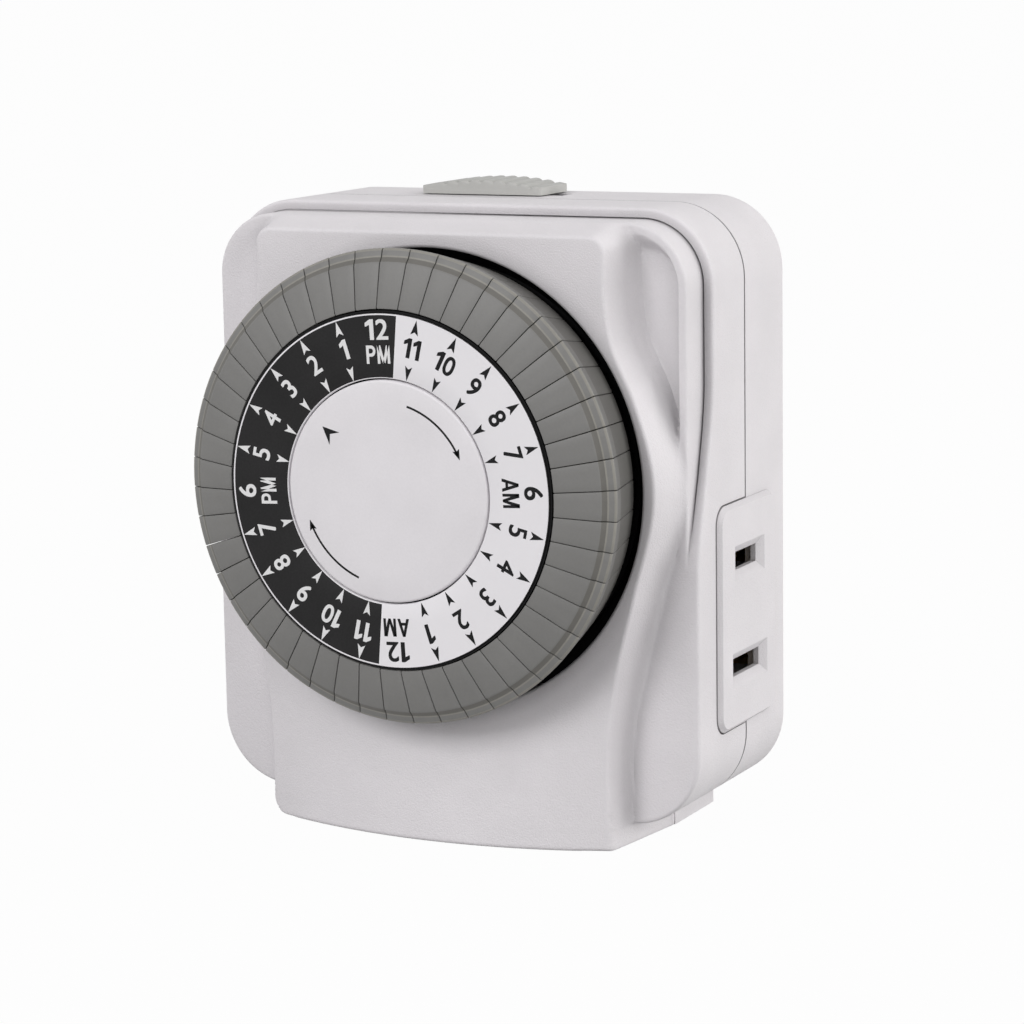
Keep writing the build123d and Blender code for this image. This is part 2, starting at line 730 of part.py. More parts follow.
# ---------------------------------------------------------------- motor
with BuildPart() as motor_cup:
    with BuildSketch(front_plane(motor_back_depth)):
        with Locations(rotor_at):
            Circle(motor_radius)
    extrude(amount=motor_front_depth - motor_wall - motor_back_depth)
    with BuildSketch(front_plane(motor_back_depth + motor_wall)):
        with Locations(rotor_at):
            Circle(motor_radius - motor_wall)
    extrude(amount=motor_front_depth, mode=Mode.SUBTRACT)
    # bearing hole for the rotor's rear pivot and a slot for the coil's leads
    with BuildSketch(front_plane(motor_back_depth)):
        with Locations(rotor_at):
            Circle(pivot_radius + running_gap)
    extrude(amount=motor_wall, mode=Mode.SUBTRACT)
    with BuildSketch(front_plane(motor_back_depth + motor_wall + 3)):
        with Locations((motor_x + motor_radius, motor_z)):
            Rectangle(4, 3.4)
    extrude(amount=2.6, mode=Mode.SUBTRACT)
save(motor_cup.part, "motor_cup")

with BuildPart() as motor_coil:
    coil_back = motor_back_depth + motor_wall + seat_gap
    coil_front = motor_front_depth - motor_wall - 0.1
    with BuildSketch(front_plane(coil_back)):
        with Locations(rotor_at):
            Circle(motor_radius - motor_wall - 0.1)
            Circle(coil_inner_radius, mode=Mode.SUBTRACT)
    extrude(amount=0.7)
    with BuildSketch(front_plane(coil_back)):
        with Locations(rotor_at):
            Circle(motor_radius - motor_wall - 1.0)
            Circle(coil_inner_radius, mode=Mode.SUBTRACT)
    extrude(amount=coil_front - coil_back)
    with BuildSketch(front_plane(coil_front - 0.7)):
        with Locations(rotor_at):
            Circle(motor_radius - motor_wall - 0.1)
            Circle(coil_inner_radius, mode=Mode.SUBTRACT)
    extrude(amount=0.7)
save(motor_coil.part, "motor_coil")

with BuildPart() as motor_cover:
    with BuildSketch(front_plane(motor_front_depth - motor_wall)):
        with Locations(rotor_at):
            Circle(motor_radius)
        with Locations(*motor_ears):
            Circle(motor_ear_radius)
        make_hull()
        with Locations(rotor_at):
            Circle(0.9 + running_gap, mode=Mode.SUBTRACT)
        with Locations(gear_at[0]):
            Circle(pivot_radius + running_gap, mode=Mode.SUBTRACT)
        with Locations(*motor_ears):
            Circle(0.8, mode=Mode.SUBTRACT)
    extrude(amount=motor_wall - seat_gap)
save(motor_cover.part, "motor_cover")

with BuildPart() as motor_screws:
    with BuildSketch(front_plane(motor_front_depth - motor_wall - 1.0 - seat_gap)):
        with Locations(*motor_ears):
            Circle(1.4)
    extrude(amount=1.0)
    with BuildSketch(front_plane(motor_front_depth - motor_wall - seat_gap)):
        with Locations(*motor_ears):
            Circle(0.7)
    extrude(amount=mechanism_back_depth - motor_front_depth + motor_wall)
    with BuildSketch(front_plane(motor_front_depth - motor_wall - 1.0 - seat_gap)):
        with Locations(*motor_ears):
            Rectangle(2.0, 0.4)
    extrude(amount=0.45, mode=Mode.SUBTRACT)
save(motor_screws.part, "motor_screws")

# distance tubes between the motor's ears and the mechanism plate
with BuildPart() as motor_spacers:
    with BuildSketch(front_plane(motor_front_depth)):
        with Locations(*motor_ears):
            Circle(1.5)
            Circle(0.75, mode=Mode.SUBTRACT)
    extrude(amount=mechanism_back_depth - seat_gap - motor_front_depth)
save(motor_spacers.part, "motor_spacers")

with BuildPart() as motor_rotor:
    with BuildSketch(front_plane(motor_back_depth + motor_wall + 0.5)):
        with Locations(rotor_at):
            Circle(rotor_radius)
    extrude(amount=motor_front_depth - motor_back_depth - 2 * motor_wall - 1.2)
    with BuildSketch(front_plane(motor_back_depth + 0.1)):
        with Locations(rotor_at):
            Circle(pivot_radius)
    extrude(amount=1.4)
    with BuildSketch(front_plane(motor_front_depth - 2.0)):
        with Locations(rotor_at):
            Circle(0.8)
    extrude(amount=first_layer_depth - 0.2 - motor_front_depth + 2.0)
    with BuildSketch(front_plane(first_layer_depth - 0.2)):
        with Locations(rotor_at):
            gear(rotor_teeth, first_link_angle, True)
    extrude(amount=wheel_thickness + 0.5)
save(motor_rotor.part, "motor_rotor")

# ---------------------------------------------------------------- reduction gears
# Each is a wheel driven by the pinion before it, and a pinion that drives the next wheel one layer back.
drivers = [rotor_at, *gear_at[:3]]
driven = [*gear_at[1:], dial_pinion_at]
for index in range(len(wheel_teeth)):
    layer = first_layer_depth - index * layer_pitch
    place = gear_at[index]
    rear = motor_front_depth - motor_wall if index == 0 else gear_plate_depth
    rear_shoulder = motor_front_depth + 0.15 if index == 0 else gear_plate_depth + gear_plate_thickness + 0.2
    with BuildPart() as train_gear:
        with BuildSketch(front_plane(layer)):
            with Locations(place):
                gear(wheel_teeth[index], bearing(place, drivers[index]), False)
        extrude(amount=wheel_thickness)
        with BuildSketch(front_plane(layer - layer_pitch - 0.15)):
            with Locations(place):
                gear(pinion_teeth[index], bearing(place, driven[index]), True)
        extrude(amount=layer_pitch + 0.15)
        # arbor between its two shoulders, then a thinner pivot at each end
        with BuildSketch(front_plane(rear_shoulder)):
            with Locations(place):
                Circle(0.5)
        extrude(amount=mechanism_back_depth - 0.2 - rear_shoulder)
        with BuildSketch(front_plane(rear + 0.1)):
            with Locations(place):
                Circle(pivot_radius)
        extrude(amount=mechanism_back_depth + pivot_length - rear - 0.1)
    save(train_gear.part, f"gear_{index + 1}")

clutch_layer = first_layer_depth - len(wheel_teeth) * layer_pitch
shaft_radius = 0.8
clutch_hub_radius = 1.3
clutch_hub_length = 1.7
with BuildPart() as clutch_gear:
    with BuildSketch(front_plane(clutch_layer)):
        with Locations(dial_pinion_at):
            gear(clutch_teeth, bearing(dial_pinion_at, gear_at[3]), False)
            Circle(shaft_radius + running_gap, mode=Mode.SUBTRACT)
    extrude(amount=wheel_thickness)
    with BuildSketch(front_plane(clutch_layer + wheel_thickness)):
        with Locations(dial_pinion_at):
            Circle(clutch_hub_radius)
            Circle(shaft_radius + running_gap, mode=Mode.SUBTRACT)
    extrude(amount=clutch_hub_length)
save(clutch_gear.part, "clutch_gear")

# the dial pinion's shaft: a flange behind the clutch gear, a collar for its spring, the pinion in the well
collar_depth = mechanism_back_depth - 1.3
mesh_depth = 22.8
with BuildPart() as dial_pinion:
    with BuildSketch(front_plane(gear_plate_depth + 0.1)):
        with Locations(dial_pinion_at):
            Circle(pivot_radius)
    extrude(amount=1.5)
    with BuildSketch(front_plane(gear_plate_depth + gear_plate_thickness + 0.15)):
        with Locations(dial_pinion_at):
            Circle(1.8)
    extrude(amount=clutch_layer - 0.08 - gear_plate_depth - gear_plate_thickness - 0.15)
    with BuildSketch(front_plane(clutch_layer - 0.1)):
        with Locations(dial_pinion_at):
            Circle(shaft_radius)
    extrude(amount=mesh_depth - clutch_layer + 0.1)
    with BuildSketch(front_plane(collar_depth)):
        with Locations(dial_pinion_at):
            Circle(2.0)
    extrude(amount=1.0)
    with BuildSketch(front_plane(mesh_depth)):
        with Locations(dial_pinion_at):
            gear(dial_pinion_teeth, bearing(dial_pinion_at, (0, dial_z)), True)
    extrude(amount=1.6)
save(dial_pinion.part, "dial_pinion")

# the clutch spring presses the gear against that flange, so that the dial can be set by hand
spring_back = clutch_layer + wheel_thickness + clutch_hub_length
with BuildPart() as clutch_spring:
    turns = 4
    for turn in range(turns):
        level = spring_back + 0.1 + (collar_depth - spring_back - 0.5) * turn / (turns - 1)
        with BuildSketch(front_plane(level)):
            with Locations(dial_pinion_at):
                Circle(1.9)
                Circle(1.3, mode=Mode.SUBTRACT)
        extrude(amount=0.3)
    with BuildSketch(front_plane(spring_back + 0.1)):
        with Locations(dial_pinion_at):
            with Locations((1.6, 0), (-1.6, 0)):
                Circle(0.25)
    extrude(amount=collar_depth - spring_back - 0.2)
save(clutch_spring.part, "clutch_spring")

# ---------------------------------------------------------------- dial drum, number plate and cap
flange_front = flange_back_depth + flange_thickness
floor_front = seat_depth
with BuildPart() as dial_drum:
    # outer wall, front floor and flange as one turned section
    with BuildSketch(Plane(origin=(0, 0, dial_z), x_dir=(1, 0, 0), z_dir=(0, 0, 1))):
        with BuildLine():
            outer_wall = drum_radius - drum_wall
            hub = post_radius + running_gap
            Polyline(
                (hub, -22.3), (hub + hub_wall, -22.3), (hub + hub_wall, -(floor_front - drum_floor - 1.0)),
                (outer_wall, -(floor_front - drum_floor - 1.0)), (outer_wall, -flange_back_depth),
                (flange_radius, -flange_back_depth), (flange_radius, -flange_front),
                (drum_radius, -flange_front), (drum_radius, -(plate_front_depth - 0.25)),
                (plate_radius + seat_gap, -(plate_front_depth - 0.25)), (plate_radius + seat_gap, -floor_front),
                (plate_inner_radius - 0.05, -floor_front), (plate_inner_radius - 0.05, -(floor_front - 1.0)),
                (hub, -(floor_front - 1.0)), (hub, -22.3),
            )
        make_face()
    revolve(axis=Axis((0, 0, dial_z), (0, 1, 0)))
    with BuildSketch(dial_plane(mesh_depth + 0.1)):
        gear(dial_teeth, dial_pinion_angle, False)
        Circle(post_radius + 1, mode=Mode.SUBTRACT)
    extrude(amount=1.3)
    # slots in the flange that guide the tappets' tails
    with BuildSketch(dial_plane(flange_back_depth)):
        with PolarLocations(0, hours * tappets_per_hour, start_angle=dial_top_deg + tappet_pitch / 2):
            with Locations(((tail_inner_radius + tail_outer_radius) / 2, 0)):
                Rectangle(tail_outer_radius - tail_inner_radius + 2 * flange_slot_gap,
                          tail_width + 2 * flange_slot_gap)
    extrude(amount=flange_thickness, mode=Mode.SUBTRACT)
save(dial_drum.part, "dial_drum")

with BuildPart() as number_plate:
    with BuildSketch(dial_plane(seat_depth + 0.02)):
        Circle(plate_radius)
        Circle(plate_inner_radius, mode=Mode.SUBTRACT)
    extrude(amount=plate_thickness - 0.02)
save(number_plate.part, "number_plate")

# the cap doesn't turn: its stem is pressed into the post
with BuildPart() as centre_cap:
    with BuildSketch(dial_plane(cap_back_depth)):
        Circle(cap_radius)
    extrude(amount=cap_thickness)
    fillet(centre_cap.faces().sort_by(Axis.Y)[0].edges(), radius=0.3)
    with BuildSketch(dial_plane(stem_back_depth)):
        Circle(cap_stem_radius)
    extrude(amount=stem_length)
save(centre_cap.part, "centre_cap")

# ---------------------------------------------------------------- tappets, a pair to each hour
body_inner_radius = drum_radius + tappet_inner_gap
for hour in range(hours):
    with BuildPart() as tappets:
        for half in range(tappets_per_hour):
            # hours run anticlockwise round the plate, seen from the front
            middle = dial_top_deg + hour * hour_pitch + (half + 0.5) * tappet_pitch
            across = Plane(origin=(0, 0, dial_z), x_dir=(cos(radians(middle)), 0, sin(radians(middle))),
                           z_dir=(sin(radians(middle)), 0, -cos(radians(middle))))
            with BuildSketch(across) as section:
                with BuildLine():
                    Polyline(
                        (body_inner_radius, tappet_inner_front_depth), (tappet_flat_radius, tappet_front_depth),
                        (tappet_rim_radius, tappet_front_depth - tappet_rim_drop),
                        (tappet_back_radius, tappet_back_depth), (body_inner_radius, tappet_back_depth),
                        (body_inner_radius, tappet_inner_front_depth),
                    )
                make_face()
            extrude(amount=2.2, both=True)
        # keep the wedge between the neighbours
        with BuildSketch(dial_plane(tappet_back_depth - 1)):
            for half in range(tappets_per_hour):
                middle = dial_top_deg + hour * hour_pitch + (half + 0.5) * tappet_pitch
                with BuildLine():
                    inner = (tappet_gap / 2) / sin(radians(tappet_pitch / 2))
                    corner = polar(inner, middle)
                    reach = 40
                    Polyline(
                        corner,
                        (corner[0] + reach * cos(radians(middle - tappet_pitch / 2)),
                         corner[1] + reach * sin(radians(middle - tappet_pitch / 2))),
                        (corner[0] + reach * cos(radians(middle + tappet_pitch / 2)),
                         corner[1] + reach * sin(radians(middle + tappet_pitch / 2))),
                        corner,
                    )
                make_face()
        extrude(amount=tappet_inner_front_depth - tappet_back_depth + 2, mode=Mode.INTERSECT)
        # tails that reach back through the drum's flange
        with BuildSketch(dial_plane(tail_end_depth)):
            with PolarLocations(0, tappets_per_hour, start_angle=dial_top_deg + hour * hour_pitch + tappet_pitch / 2,
                                angular_range=hour_pitch):
                with Locations(((tail_inner_radius + tail_outer_radius) / 2, 0)):
                    Rectangle(tail_outer_radius - tail_inner_radius, tail_width)
        extrude(amount=tappet_back_depth - tail_end_depth)
    save(tappets.part, f"tappets_{hour + 1:02d}")

# ---------------------------------------------------------------- follower lever and its pin
lever_top = follower_z + 1.2
with BuildPart() as follower_lever:
    with BuildSketch(Plane.YZ.offset(follower_x - lever_width / 2)):
        with Locations((-lever_depth, (lever_pivot_z + lever_top) / 2)):
            Rectangle(lever_thickness, lever_top - lever_pivot_z)
        with Locations((-lever_depth, lever_pivot_z)):
            Circle(1.6)
            Circle(lever_pin_radius + running_gap, mode=Mode.SUBTRACT)
        # pad that presses on the leaf
        pad_top = lever_depth - lever_thickness / 2
        pad_end = leaf_front_depth + 0.15
        with Locations((-(pad_top + pad_end) / 2, lever_pivot_z + lever_pad_reach)):
            Rectangle(pad_top - pad_end, 1.4)
    extrude(amount=lever_width)
    with BuildSketch(Plane.YZ.offset(follower_x - nose_width / 2)):
        with BuildLine():
            Polyline(
                (-lever_depth, follower_z - 1.6), (-nose_neck_depth, follower_z - nose_height / 2),
                (-nose_tip_depth, follower_z - nose_height / 2), (-nose_tip_depth, follower_z + nose_height / 2),
                (-nose_neck_depth, follower_z + nose_height / 2), (-lever_depth, follower_z + 1.2),
                (-lever_depth, follower_z - 1.6),
            )
        make_face()
    extrude(amount=nose_width)
save(follower_lever.part, "follower_lever")

with BuildPart() as follower_pin:
    with BuildSketch(Plane.YZ.offset(follower_x - lug_half - lug_thickness)):
        with Locations((-lever_depth, lever_pivot_z)):
            Circle(lever_pin_radius)
    extrude(amount=2 * (lug_half + lug_thickness))
save(follower_pin.part, "follower_pin")

# ---------------------------------------------------------------- switch leaf and contacts
contact_z = leaf_tip_z - 1.8
with BuildPart() as switch_leaf:
    with BuildSketch(front_plane(leaf_front_depth - leaf_thickness)):
        with Locations((follower_x, (leaf_root_z + leaf_tip_z) / 2)):
            Rectangle(leaf_width, leaf_tip_z - leaf_root_z)
        with Locations((follower_x, contact_z)):
            Circle(0.6, mode=Mode.SUBTRACT)
    extrude(amount=leaf_thickness)
save(switch_leaf.part, "switch_leaf")

with BuildPart() as moving_contact:
    with BuildSketch(front_plane(leaf_front_depth - leaf_thickness - contact_thickness)):
        with Locations((follower_x, contact_z)):
            Circle(contact_radius)
    extrude(amount=contact_thickness)
    with BuildSketch(front_plane(leaf_front_depth - leaf_thickness)):
        with Locations((follower_x, contact_z)):
            Circle(0.6)
    extrude(amount=leaf_thickness + 0.2)
save(moving_contact.part, "moving_contact")

fixed_top = leaf_front_depth - leaf_thickness - contact_thickness - contact_gap
with BuildPart() as fixed_contact:
    with BuildSketch(front_plane(fixed_top - contact_thickness)):
        with Locations((follower_x, contact_z)):
            Circle(contact_radius)
    extrude(amount=contact_thickness)
save(fixed_contact.part, "fixed_contact")

# ---------------------------------------------------------------- blades and bus bars
bus_back = back_wall + seat_gap
riser_depth = fixed_top - contact_thickness - seat_gap


def bar(x, z, depth):
    """A flat box between two corners, given as pairs of x, z and depth; added to the part."""
    with Locations(((x[0] + x[1]) / 2, -(depth[0] + depth[1]) / 2, (z[0] + z[1]) / 2)):
        Box(x[1] - x[0], depth[1] - depth[0], z[1] - z[0])


def blade(x, width):
    """A plug blade out of the back, with the flange that seats it inside the back wall."""
    bar((x - blade_thickness / 2, x + blade_thickness / 2), (-width / 2, width / 2),
        (-blade_reach, bus_back + bus_thickness))
    bar((x - 2.6, x + 2.6), (-width / 2, width / 2), (bus_back, bus_back + bus_thickness))


line_x = blade_pitch / 2
strip_z = (contact_z - 2.2, contact_z + 2.2)
with BuildPart() as line_blade:
    blade(line_x, line_blade_width)
    tip = line_blade.faces().sort_by(Axis.Y)[-1]
    chamfer(tip.edges().filter_by(Axis.Z), length=0.45)
    bar((line_x - 2.6, line_x + 2.6), (0, strip_z[1]), (bus_back, bus_back + bus_thickness))
    bar((follower_x - leaf_width / 2, line_x), strip_z, (bus_back, bus_back + bus_thickness))
    bar((follower_x - leaf_width / 2, follower_x - leaf_width / 2 + bus_thickness), strip_z,
        (bus_back, riser_depth))
    bar((follower_x - leaf_width / 2, follower_x + leaf_width / 2), strip_z,
        (riser_depth - bus_thickness, riser_depth))
save(line_blade.part, "line_blade")

clip_outer_x = half_width - wall - clip_end_gap
clip_front = outlet_depth + clip_width / 2


def outlet_clips(z):
    """A sprung fork behind the slot in each side, open towards the front, standing on a bus bar."""
    for side in (-1, 1):
        ends = sorted((side * clip_outer_x, side * (clip_outer_x - clip_length)))
        for low in (-clip_mouth / 2 - bus_thickness, clip_mouth / 2):
            bar(ends, (z + low, z + low + bus_thickness), (bus_back, clip_front))
        bar(ends, (z - clip_mouth / 2 - bus_thickness, z + clip_mouth / 2 + bus_thickness),
            (bus_back, bus_back + bus_thickness))


leaf_foot_x = (follower_x - leaf_width / 2, follower_x + leaf_width / 2)
with BuildPart() as line_bus:
    bar((-clip_outer_x, clip_outer_x), (line_slot_z - bus_height / 2, line_slot_z + bus_height / 2),
        (bus_back, bus_back + bus_thickness))
    outlet_clips(line_slot_z)
    # terminal that carries the root of the switch leaf
    bar(leaf_foot_x, (line_slot_z - bus_height / 2, line_slot_z - bus_height / 2 + bus_thickness),
        (bus_back, leaf_front_depth - leaf_thickness - seat_gap))
    bar(leaf_foot_x, (line_slot_z - bus_height / 2, leaf_root_z + 1.5),
        (leaf_front_depth - leaf_thickness - seat_gap - bus_thickness, leaf_front_depth - leaf_thickness - seat_gap))
save(line_bus.part, "line_bus")

neutral_x = -blade_pitch / 2
bridge = (bus_back + 2.2, bus_back + 2.2 + bus_thickness)
with BuildPart() as neutral_blade:
    blade(neutral_x, neutral_blade_width)
    tip = neutral_blade.faces().sort_by(Axis.Y)[-1]
    chamfer(tip.edges().filter_by(Axis.Z), length=0.45)
    # strip that steps over the line bus down to the neutral bus
    low_z = -neutral_blade_width / 2 - 3.2
    bar((neutral_x - 1.6, neutral_x + 1.6), (low_z, 0), (bus_back, bus_back + bus_thickness))
    bar((neutral_x - 1.6, neutral_x + 1.6), (low_z, low_z + bus_thickness), (bus_back, bridge[1]))
    bar((neutral_x - 1.6, neutral_x + 1.6), (neutral_slot_z + bus_height / 2 - 1.6, low_z + bus_thickness), bridge)
    bar((neutral_x - 1.6, neutral_x + 1.6),
        (neutral_slot_z + bus_height / 2 - 1.6, neutral_slot_z + bus_height / 2 - 1.6 + bus_thickness),
        (bus_back + bus_thickness + seat_gap, bridge[1]))
save(neutral_blade.part, "neutral_blade")

with BuildPart() as neutral_bus:
    bar((-clip_outer_x, clip_outer_x), (neutral_slot_z - bus_height / 2, neutral_slot_z + bus_height / 2),
        (bus_back, bus_back + bus_thickness))
    outlet_clips(neutral_slot_z)
save(neutral_bus.part, "neutral_bus")

# ---------------------------------------------------------------- motor leads
lead_radius = 0.45
lead_out_x = motor_x + motor_radius + 1.8
lead_depth = motor_back_depth + motor_wall + 4.3
with BuildPart() as motor_leads:
    for lead_z, bus_z in ((motor_z + 0.9, line_slot_z), (motor_z - 0.9, neutral_slot_z)):
        lead_end = bus_back + bus_thickness + 0.1
        with BuildLine() as run:
            FilletPolyline(
                (motor_x + motor_radius - motor_wall - 0.2, -lead_depth, lead_z),
                (lead_out_x, -lead_depth, lead_z),
                (lead_out_x + 1.4, -lead_end - 2.6, bus_z),
                (lead_out_x + 1.4, -lead_end, bus_z),
                radius=1.2,
            )
        with BuildSketch(Plane(origin=run.line @ 0, z_dir=run.line % 0)):
            Circle(lead_radius)
        sweep(path=run.line)
save(motor_leads.part, "motor_leads")

# ---------------------------------------------------------------- override slider
slider_base = body_top + sliding_gap
with BuildPart() as override_slider:
    with BuildSketch(front_plane(slider_depth - slider_depth_size / 2)):
        with BuildLine():
            left, right = slider_rest_x - slider_length / 2, slider_rest_x + slider_length / 2
            Polyline((right, slider_base + slider_end_height), (right, slider_base), (left, slider_base),
                     (left, slider_base + slider_end_height))
            ThreePointArc((left, slider_base + slider_end_height), (slider_rest_x, slider_base + slider_crown),
                          (right, slider_base + slider_end_height))
        make_face()
    extrude(amount=slider_depth_size)
    # grip grooves across the crown
    arc_rise = slider_crown - slider_end_height
    arc_radius = ((slider_length / 2) ** 2 + arc_rise**2) / (2 * arc_rise)
    for groove in range(slider_grooves):
        offset_x = slider_groove_shift + (groove - (slider_grooves - 1) / 2) * slider_groove_pitch
        groove_z = slider_base + slider_crown - arc_radius + sqrt(arc_radius**2 - offset_x**2)
        with BuildSketch(front_plane(slider_depth - slider_depth_size / 2)):
            with Locations((slider_rest_x + offset_x, groove_z + slider_groove_radius - slider_groove_depth)):
                Circle(slider_groove_radius)
        extrude(amount=slider_depth_size, mode=Mode.SUBTRACT)
    # stem through the housing's slot and the foot that keeps it in
    foot_top = body_top - wall - sliding_gap
    with BuildSketch(Plane.XY.offset(foot_top - slider_foot_thickness)):
        with Locations((slider_rest_x, -slider_depth)):
            Rectangle(slider_stem_length, slider_stem_thickness)
    extrude(amount=slider_base + 0.2 - foot_top + slider_foot_thickness)
    with BuildSketch(Plane.XY.offset(foot_top - slider_foot_thickness)):
        with Locations((slider_rest_x, -slider_depth)):
            Rectangle(slider_foot_length, slider_stem_thickness + 1.6)
    extrude(amount=slider_foot_thickness)
save(override_slider.part, "override_slider")
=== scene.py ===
"""A plug-in 24-hour timer switch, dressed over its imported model, in metres."""

from math import cos, pi, radians, sin, tau

import bmesh
import bpy
import numpy as np
from mathutils import Matrix, Vector


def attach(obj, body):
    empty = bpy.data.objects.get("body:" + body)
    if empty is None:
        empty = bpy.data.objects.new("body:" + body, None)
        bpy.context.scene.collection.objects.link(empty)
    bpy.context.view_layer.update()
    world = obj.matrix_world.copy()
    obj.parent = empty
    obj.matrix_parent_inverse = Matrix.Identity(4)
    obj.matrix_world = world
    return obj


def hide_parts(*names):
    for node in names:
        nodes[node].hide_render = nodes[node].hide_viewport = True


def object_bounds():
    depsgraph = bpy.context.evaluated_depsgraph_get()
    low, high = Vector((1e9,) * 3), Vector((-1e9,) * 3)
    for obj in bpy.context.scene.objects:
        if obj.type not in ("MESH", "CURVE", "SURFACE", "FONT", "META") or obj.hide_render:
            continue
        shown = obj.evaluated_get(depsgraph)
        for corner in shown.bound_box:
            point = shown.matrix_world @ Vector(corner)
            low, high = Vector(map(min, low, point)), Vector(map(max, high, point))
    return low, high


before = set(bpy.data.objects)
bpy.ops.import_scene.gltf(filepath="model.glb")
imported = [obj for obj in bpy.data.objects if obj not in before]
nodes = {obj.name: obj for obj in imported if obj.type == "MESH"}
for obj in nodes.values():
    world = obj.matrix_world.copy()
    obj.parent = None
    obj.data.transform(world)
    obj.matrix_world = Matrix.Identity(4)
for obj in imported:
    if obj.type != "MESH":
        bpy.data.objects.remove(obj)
cad_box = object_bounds()
MM = 0.001

# ------------------------------------------------------------------ tabletop and studio
# The switch stands on its foot on a plain pale table with a pale wall behind it.
# A soft lamp stands to the front left, and two light its right side from in front and behind.
eye, lens_length = Vector((0.17891, -0.36472, 0.0535)), 115.55
turned_deg, tipped_deg, rolled_deg = 26.749, 9.859, -0.939
table_gap, studio_half, wall_y, wall_top = 0.0002, 12, 11.9, 6.0
paper_grey, table_whiteness, wall_whiteness = 0.38, 0.975, 1.0
lamp_aim = (0, 0, -0.01)

ahead = Vector((-sin(radians(turned_deg)) * cos(radians(tipped_deg)),
                cos(radians(turned_deg)) * cos(radians(tipped_deg)), -sin(radians(tipped_deg))))
level = Vector((cos(radians(turned_deg)), sin(radians(turned_deg)), 0))
upright = level.cross(ahead)
across = level * cos(radians(rolled_deg)) + upright * sin(radians(rolled_deg))
upright = upright * cos(radians(rolled_deg)) - level * sin(radians(rolled_deg))
camera = bpy.data.objects.new("camera", bpy.data.cameras.new("camera"))
bpy.context.scene.collection.objects.link(camera)
camera.matrix_world = Matrix.Translation(eye) @ Matrix((across, upright, -ahead)).transposed().to_4x4()
camera.data.sensor_width = 36.0
camera.data.lens = lens_length
camera.data.clip_start, camera.data.clip_end = 0.01, 20
bpy.context.scene.camera = camera
bpy.context.scene.view_settings.view_transform = "Standard"


def white_to_the_eye(tree, surface, whiteness):
    """Shows a surface as plain white where it is looked at directly or mirrored, but lights nothing."""
    new, link = tree.nodes.new, tree.links.new
    path = new("ShaderNodeLightPath")
    seen = new("ShaderNodeMath")
    seen.operation = "ADD"
    link(path.outputs["Is Camera Ray"], seen.inputs[0])
    link(path.outputs["Is Glossy Ray"], seen.inputs[1])
    also = new("ShaderNodeMath")
    also.operation = "ADD"
    also.use_clamp = True
    link(seen.outputs[0], also.inputs[0])
    link(path.outputs["Is Transmission Ray"], also.inputs[1])
    part = new("ShaderNodeMath")
    part.operation = "MULTIPLY"
    part.inputs[1].default_value = whiteness
    link(also.outputs[0], part.inputs[0])
    glow = new("ShaderNodeBackground" if surface.type == "BACKGROUND" else "ShaderNodeEmission")
    glow.inputs["Strength"].default_value = 1.0
    glow.inputs["Color"].default_value = (1, 1, 1, 1)
    mix = new("ShaderNodeMixShader")
    link(part.outputs[0], mix.inputs[0])
    link(surface.outputs[0], mix.inputs[1])
    link(glow.outputs[0], mix.inputs[2])
    return mix


def stage_sheet(name, corners, whiteness):
    """A flat sheet of the studio."""
    mesh = bpy.data.meshes.new(name)
    mesh.from_pydata(corners, [], [(0, 1, 2, 3)])
    sheet = bpy.data.objects.new(name, mesh)
    bpy.context.scene.collection.objects.link(sheet)
    paper = bpy.data.materials.new(name)
    paper.use_nodes = True
    tree = paper.node_tree
    body = tree.nodes["Principled BSDF"]
    body.inputs["Base Color"].default_value = (paper_grey, paper_grey, paper_grey, 1)
    body.inputs["Roughness"].default_value = 0.9
    body.inputs["Specular IOR Level"].default_value = 0.1
    mix = white_to_the_eye(tree, body, whiteness)
    tree.links.new(mix.outputs[0], tree.nodes["Material Output"].inputs["Surface"])
    mesh.materials.append(paper)


def soft_lamp(name, place, side, watts, colour):
    """A square softbox that points at the switch."""
    lamp = bpy.data.objects.new(name, bpy.data.lights.new(name, "AREA"))
    bpy.context.scene.collection.objects.link(lamp)
    lamp.location = place
    lamp.rotation_euler = (Vector(lamp_aim) - Vector(place)).to_track_quat("-Z", "Y").to_euler()
    lamp.data.size = side
    lamp.data.energy = watts
    lamp.data.color = colour


table_z = cad_box[0].z - table_gap
stage_sheet("table", [(x, y, table_z) for x, y in (
    (-studio_half, -studio_half), (studio_half, -studio_half), (studio_half, studio_half),
    (-studio_half, studio_half))], table_whiteness)
stage_sheet("wall", [(-studio_half, wall_y, table_z), (studio_half, wall_y, table_z),
                     (studio_half, wall_y, wall_top), (-studio_half, wall_y, wall_top)], wall_whiteness)
world = bpy.data.worlds.new("studio")
bpy.context.scene.world = world
world.use_nodes = True
air = world.node_tree.nodes["Background"]
air.inputs["Color"].default_value = (1.0, 0.99, 1.0, 1)
air.inputs["Strength"].default_value = 0.52
world.node_tree.links.new(white_to_the_eye(world.node_tree, air, 1.0).outputs[0],
                          world.node_tree.nodes["World Output"].inputs["Surface"])
soft_lamp("front_lamp", (-0.23, -0.85, 0.47), 0.4, 3.9, (1.0, 0.99, 1.0))
soft_lamp("right_lamp", (0.91, -0.33, 0.26), 0.6, 2.0, (1.0, 0.99, 0.985))
soft_lamp("rear_lamp", (0.87, 0.41, 0.26), 0.6, 4.3, (1.0, 0.99, 0.98))

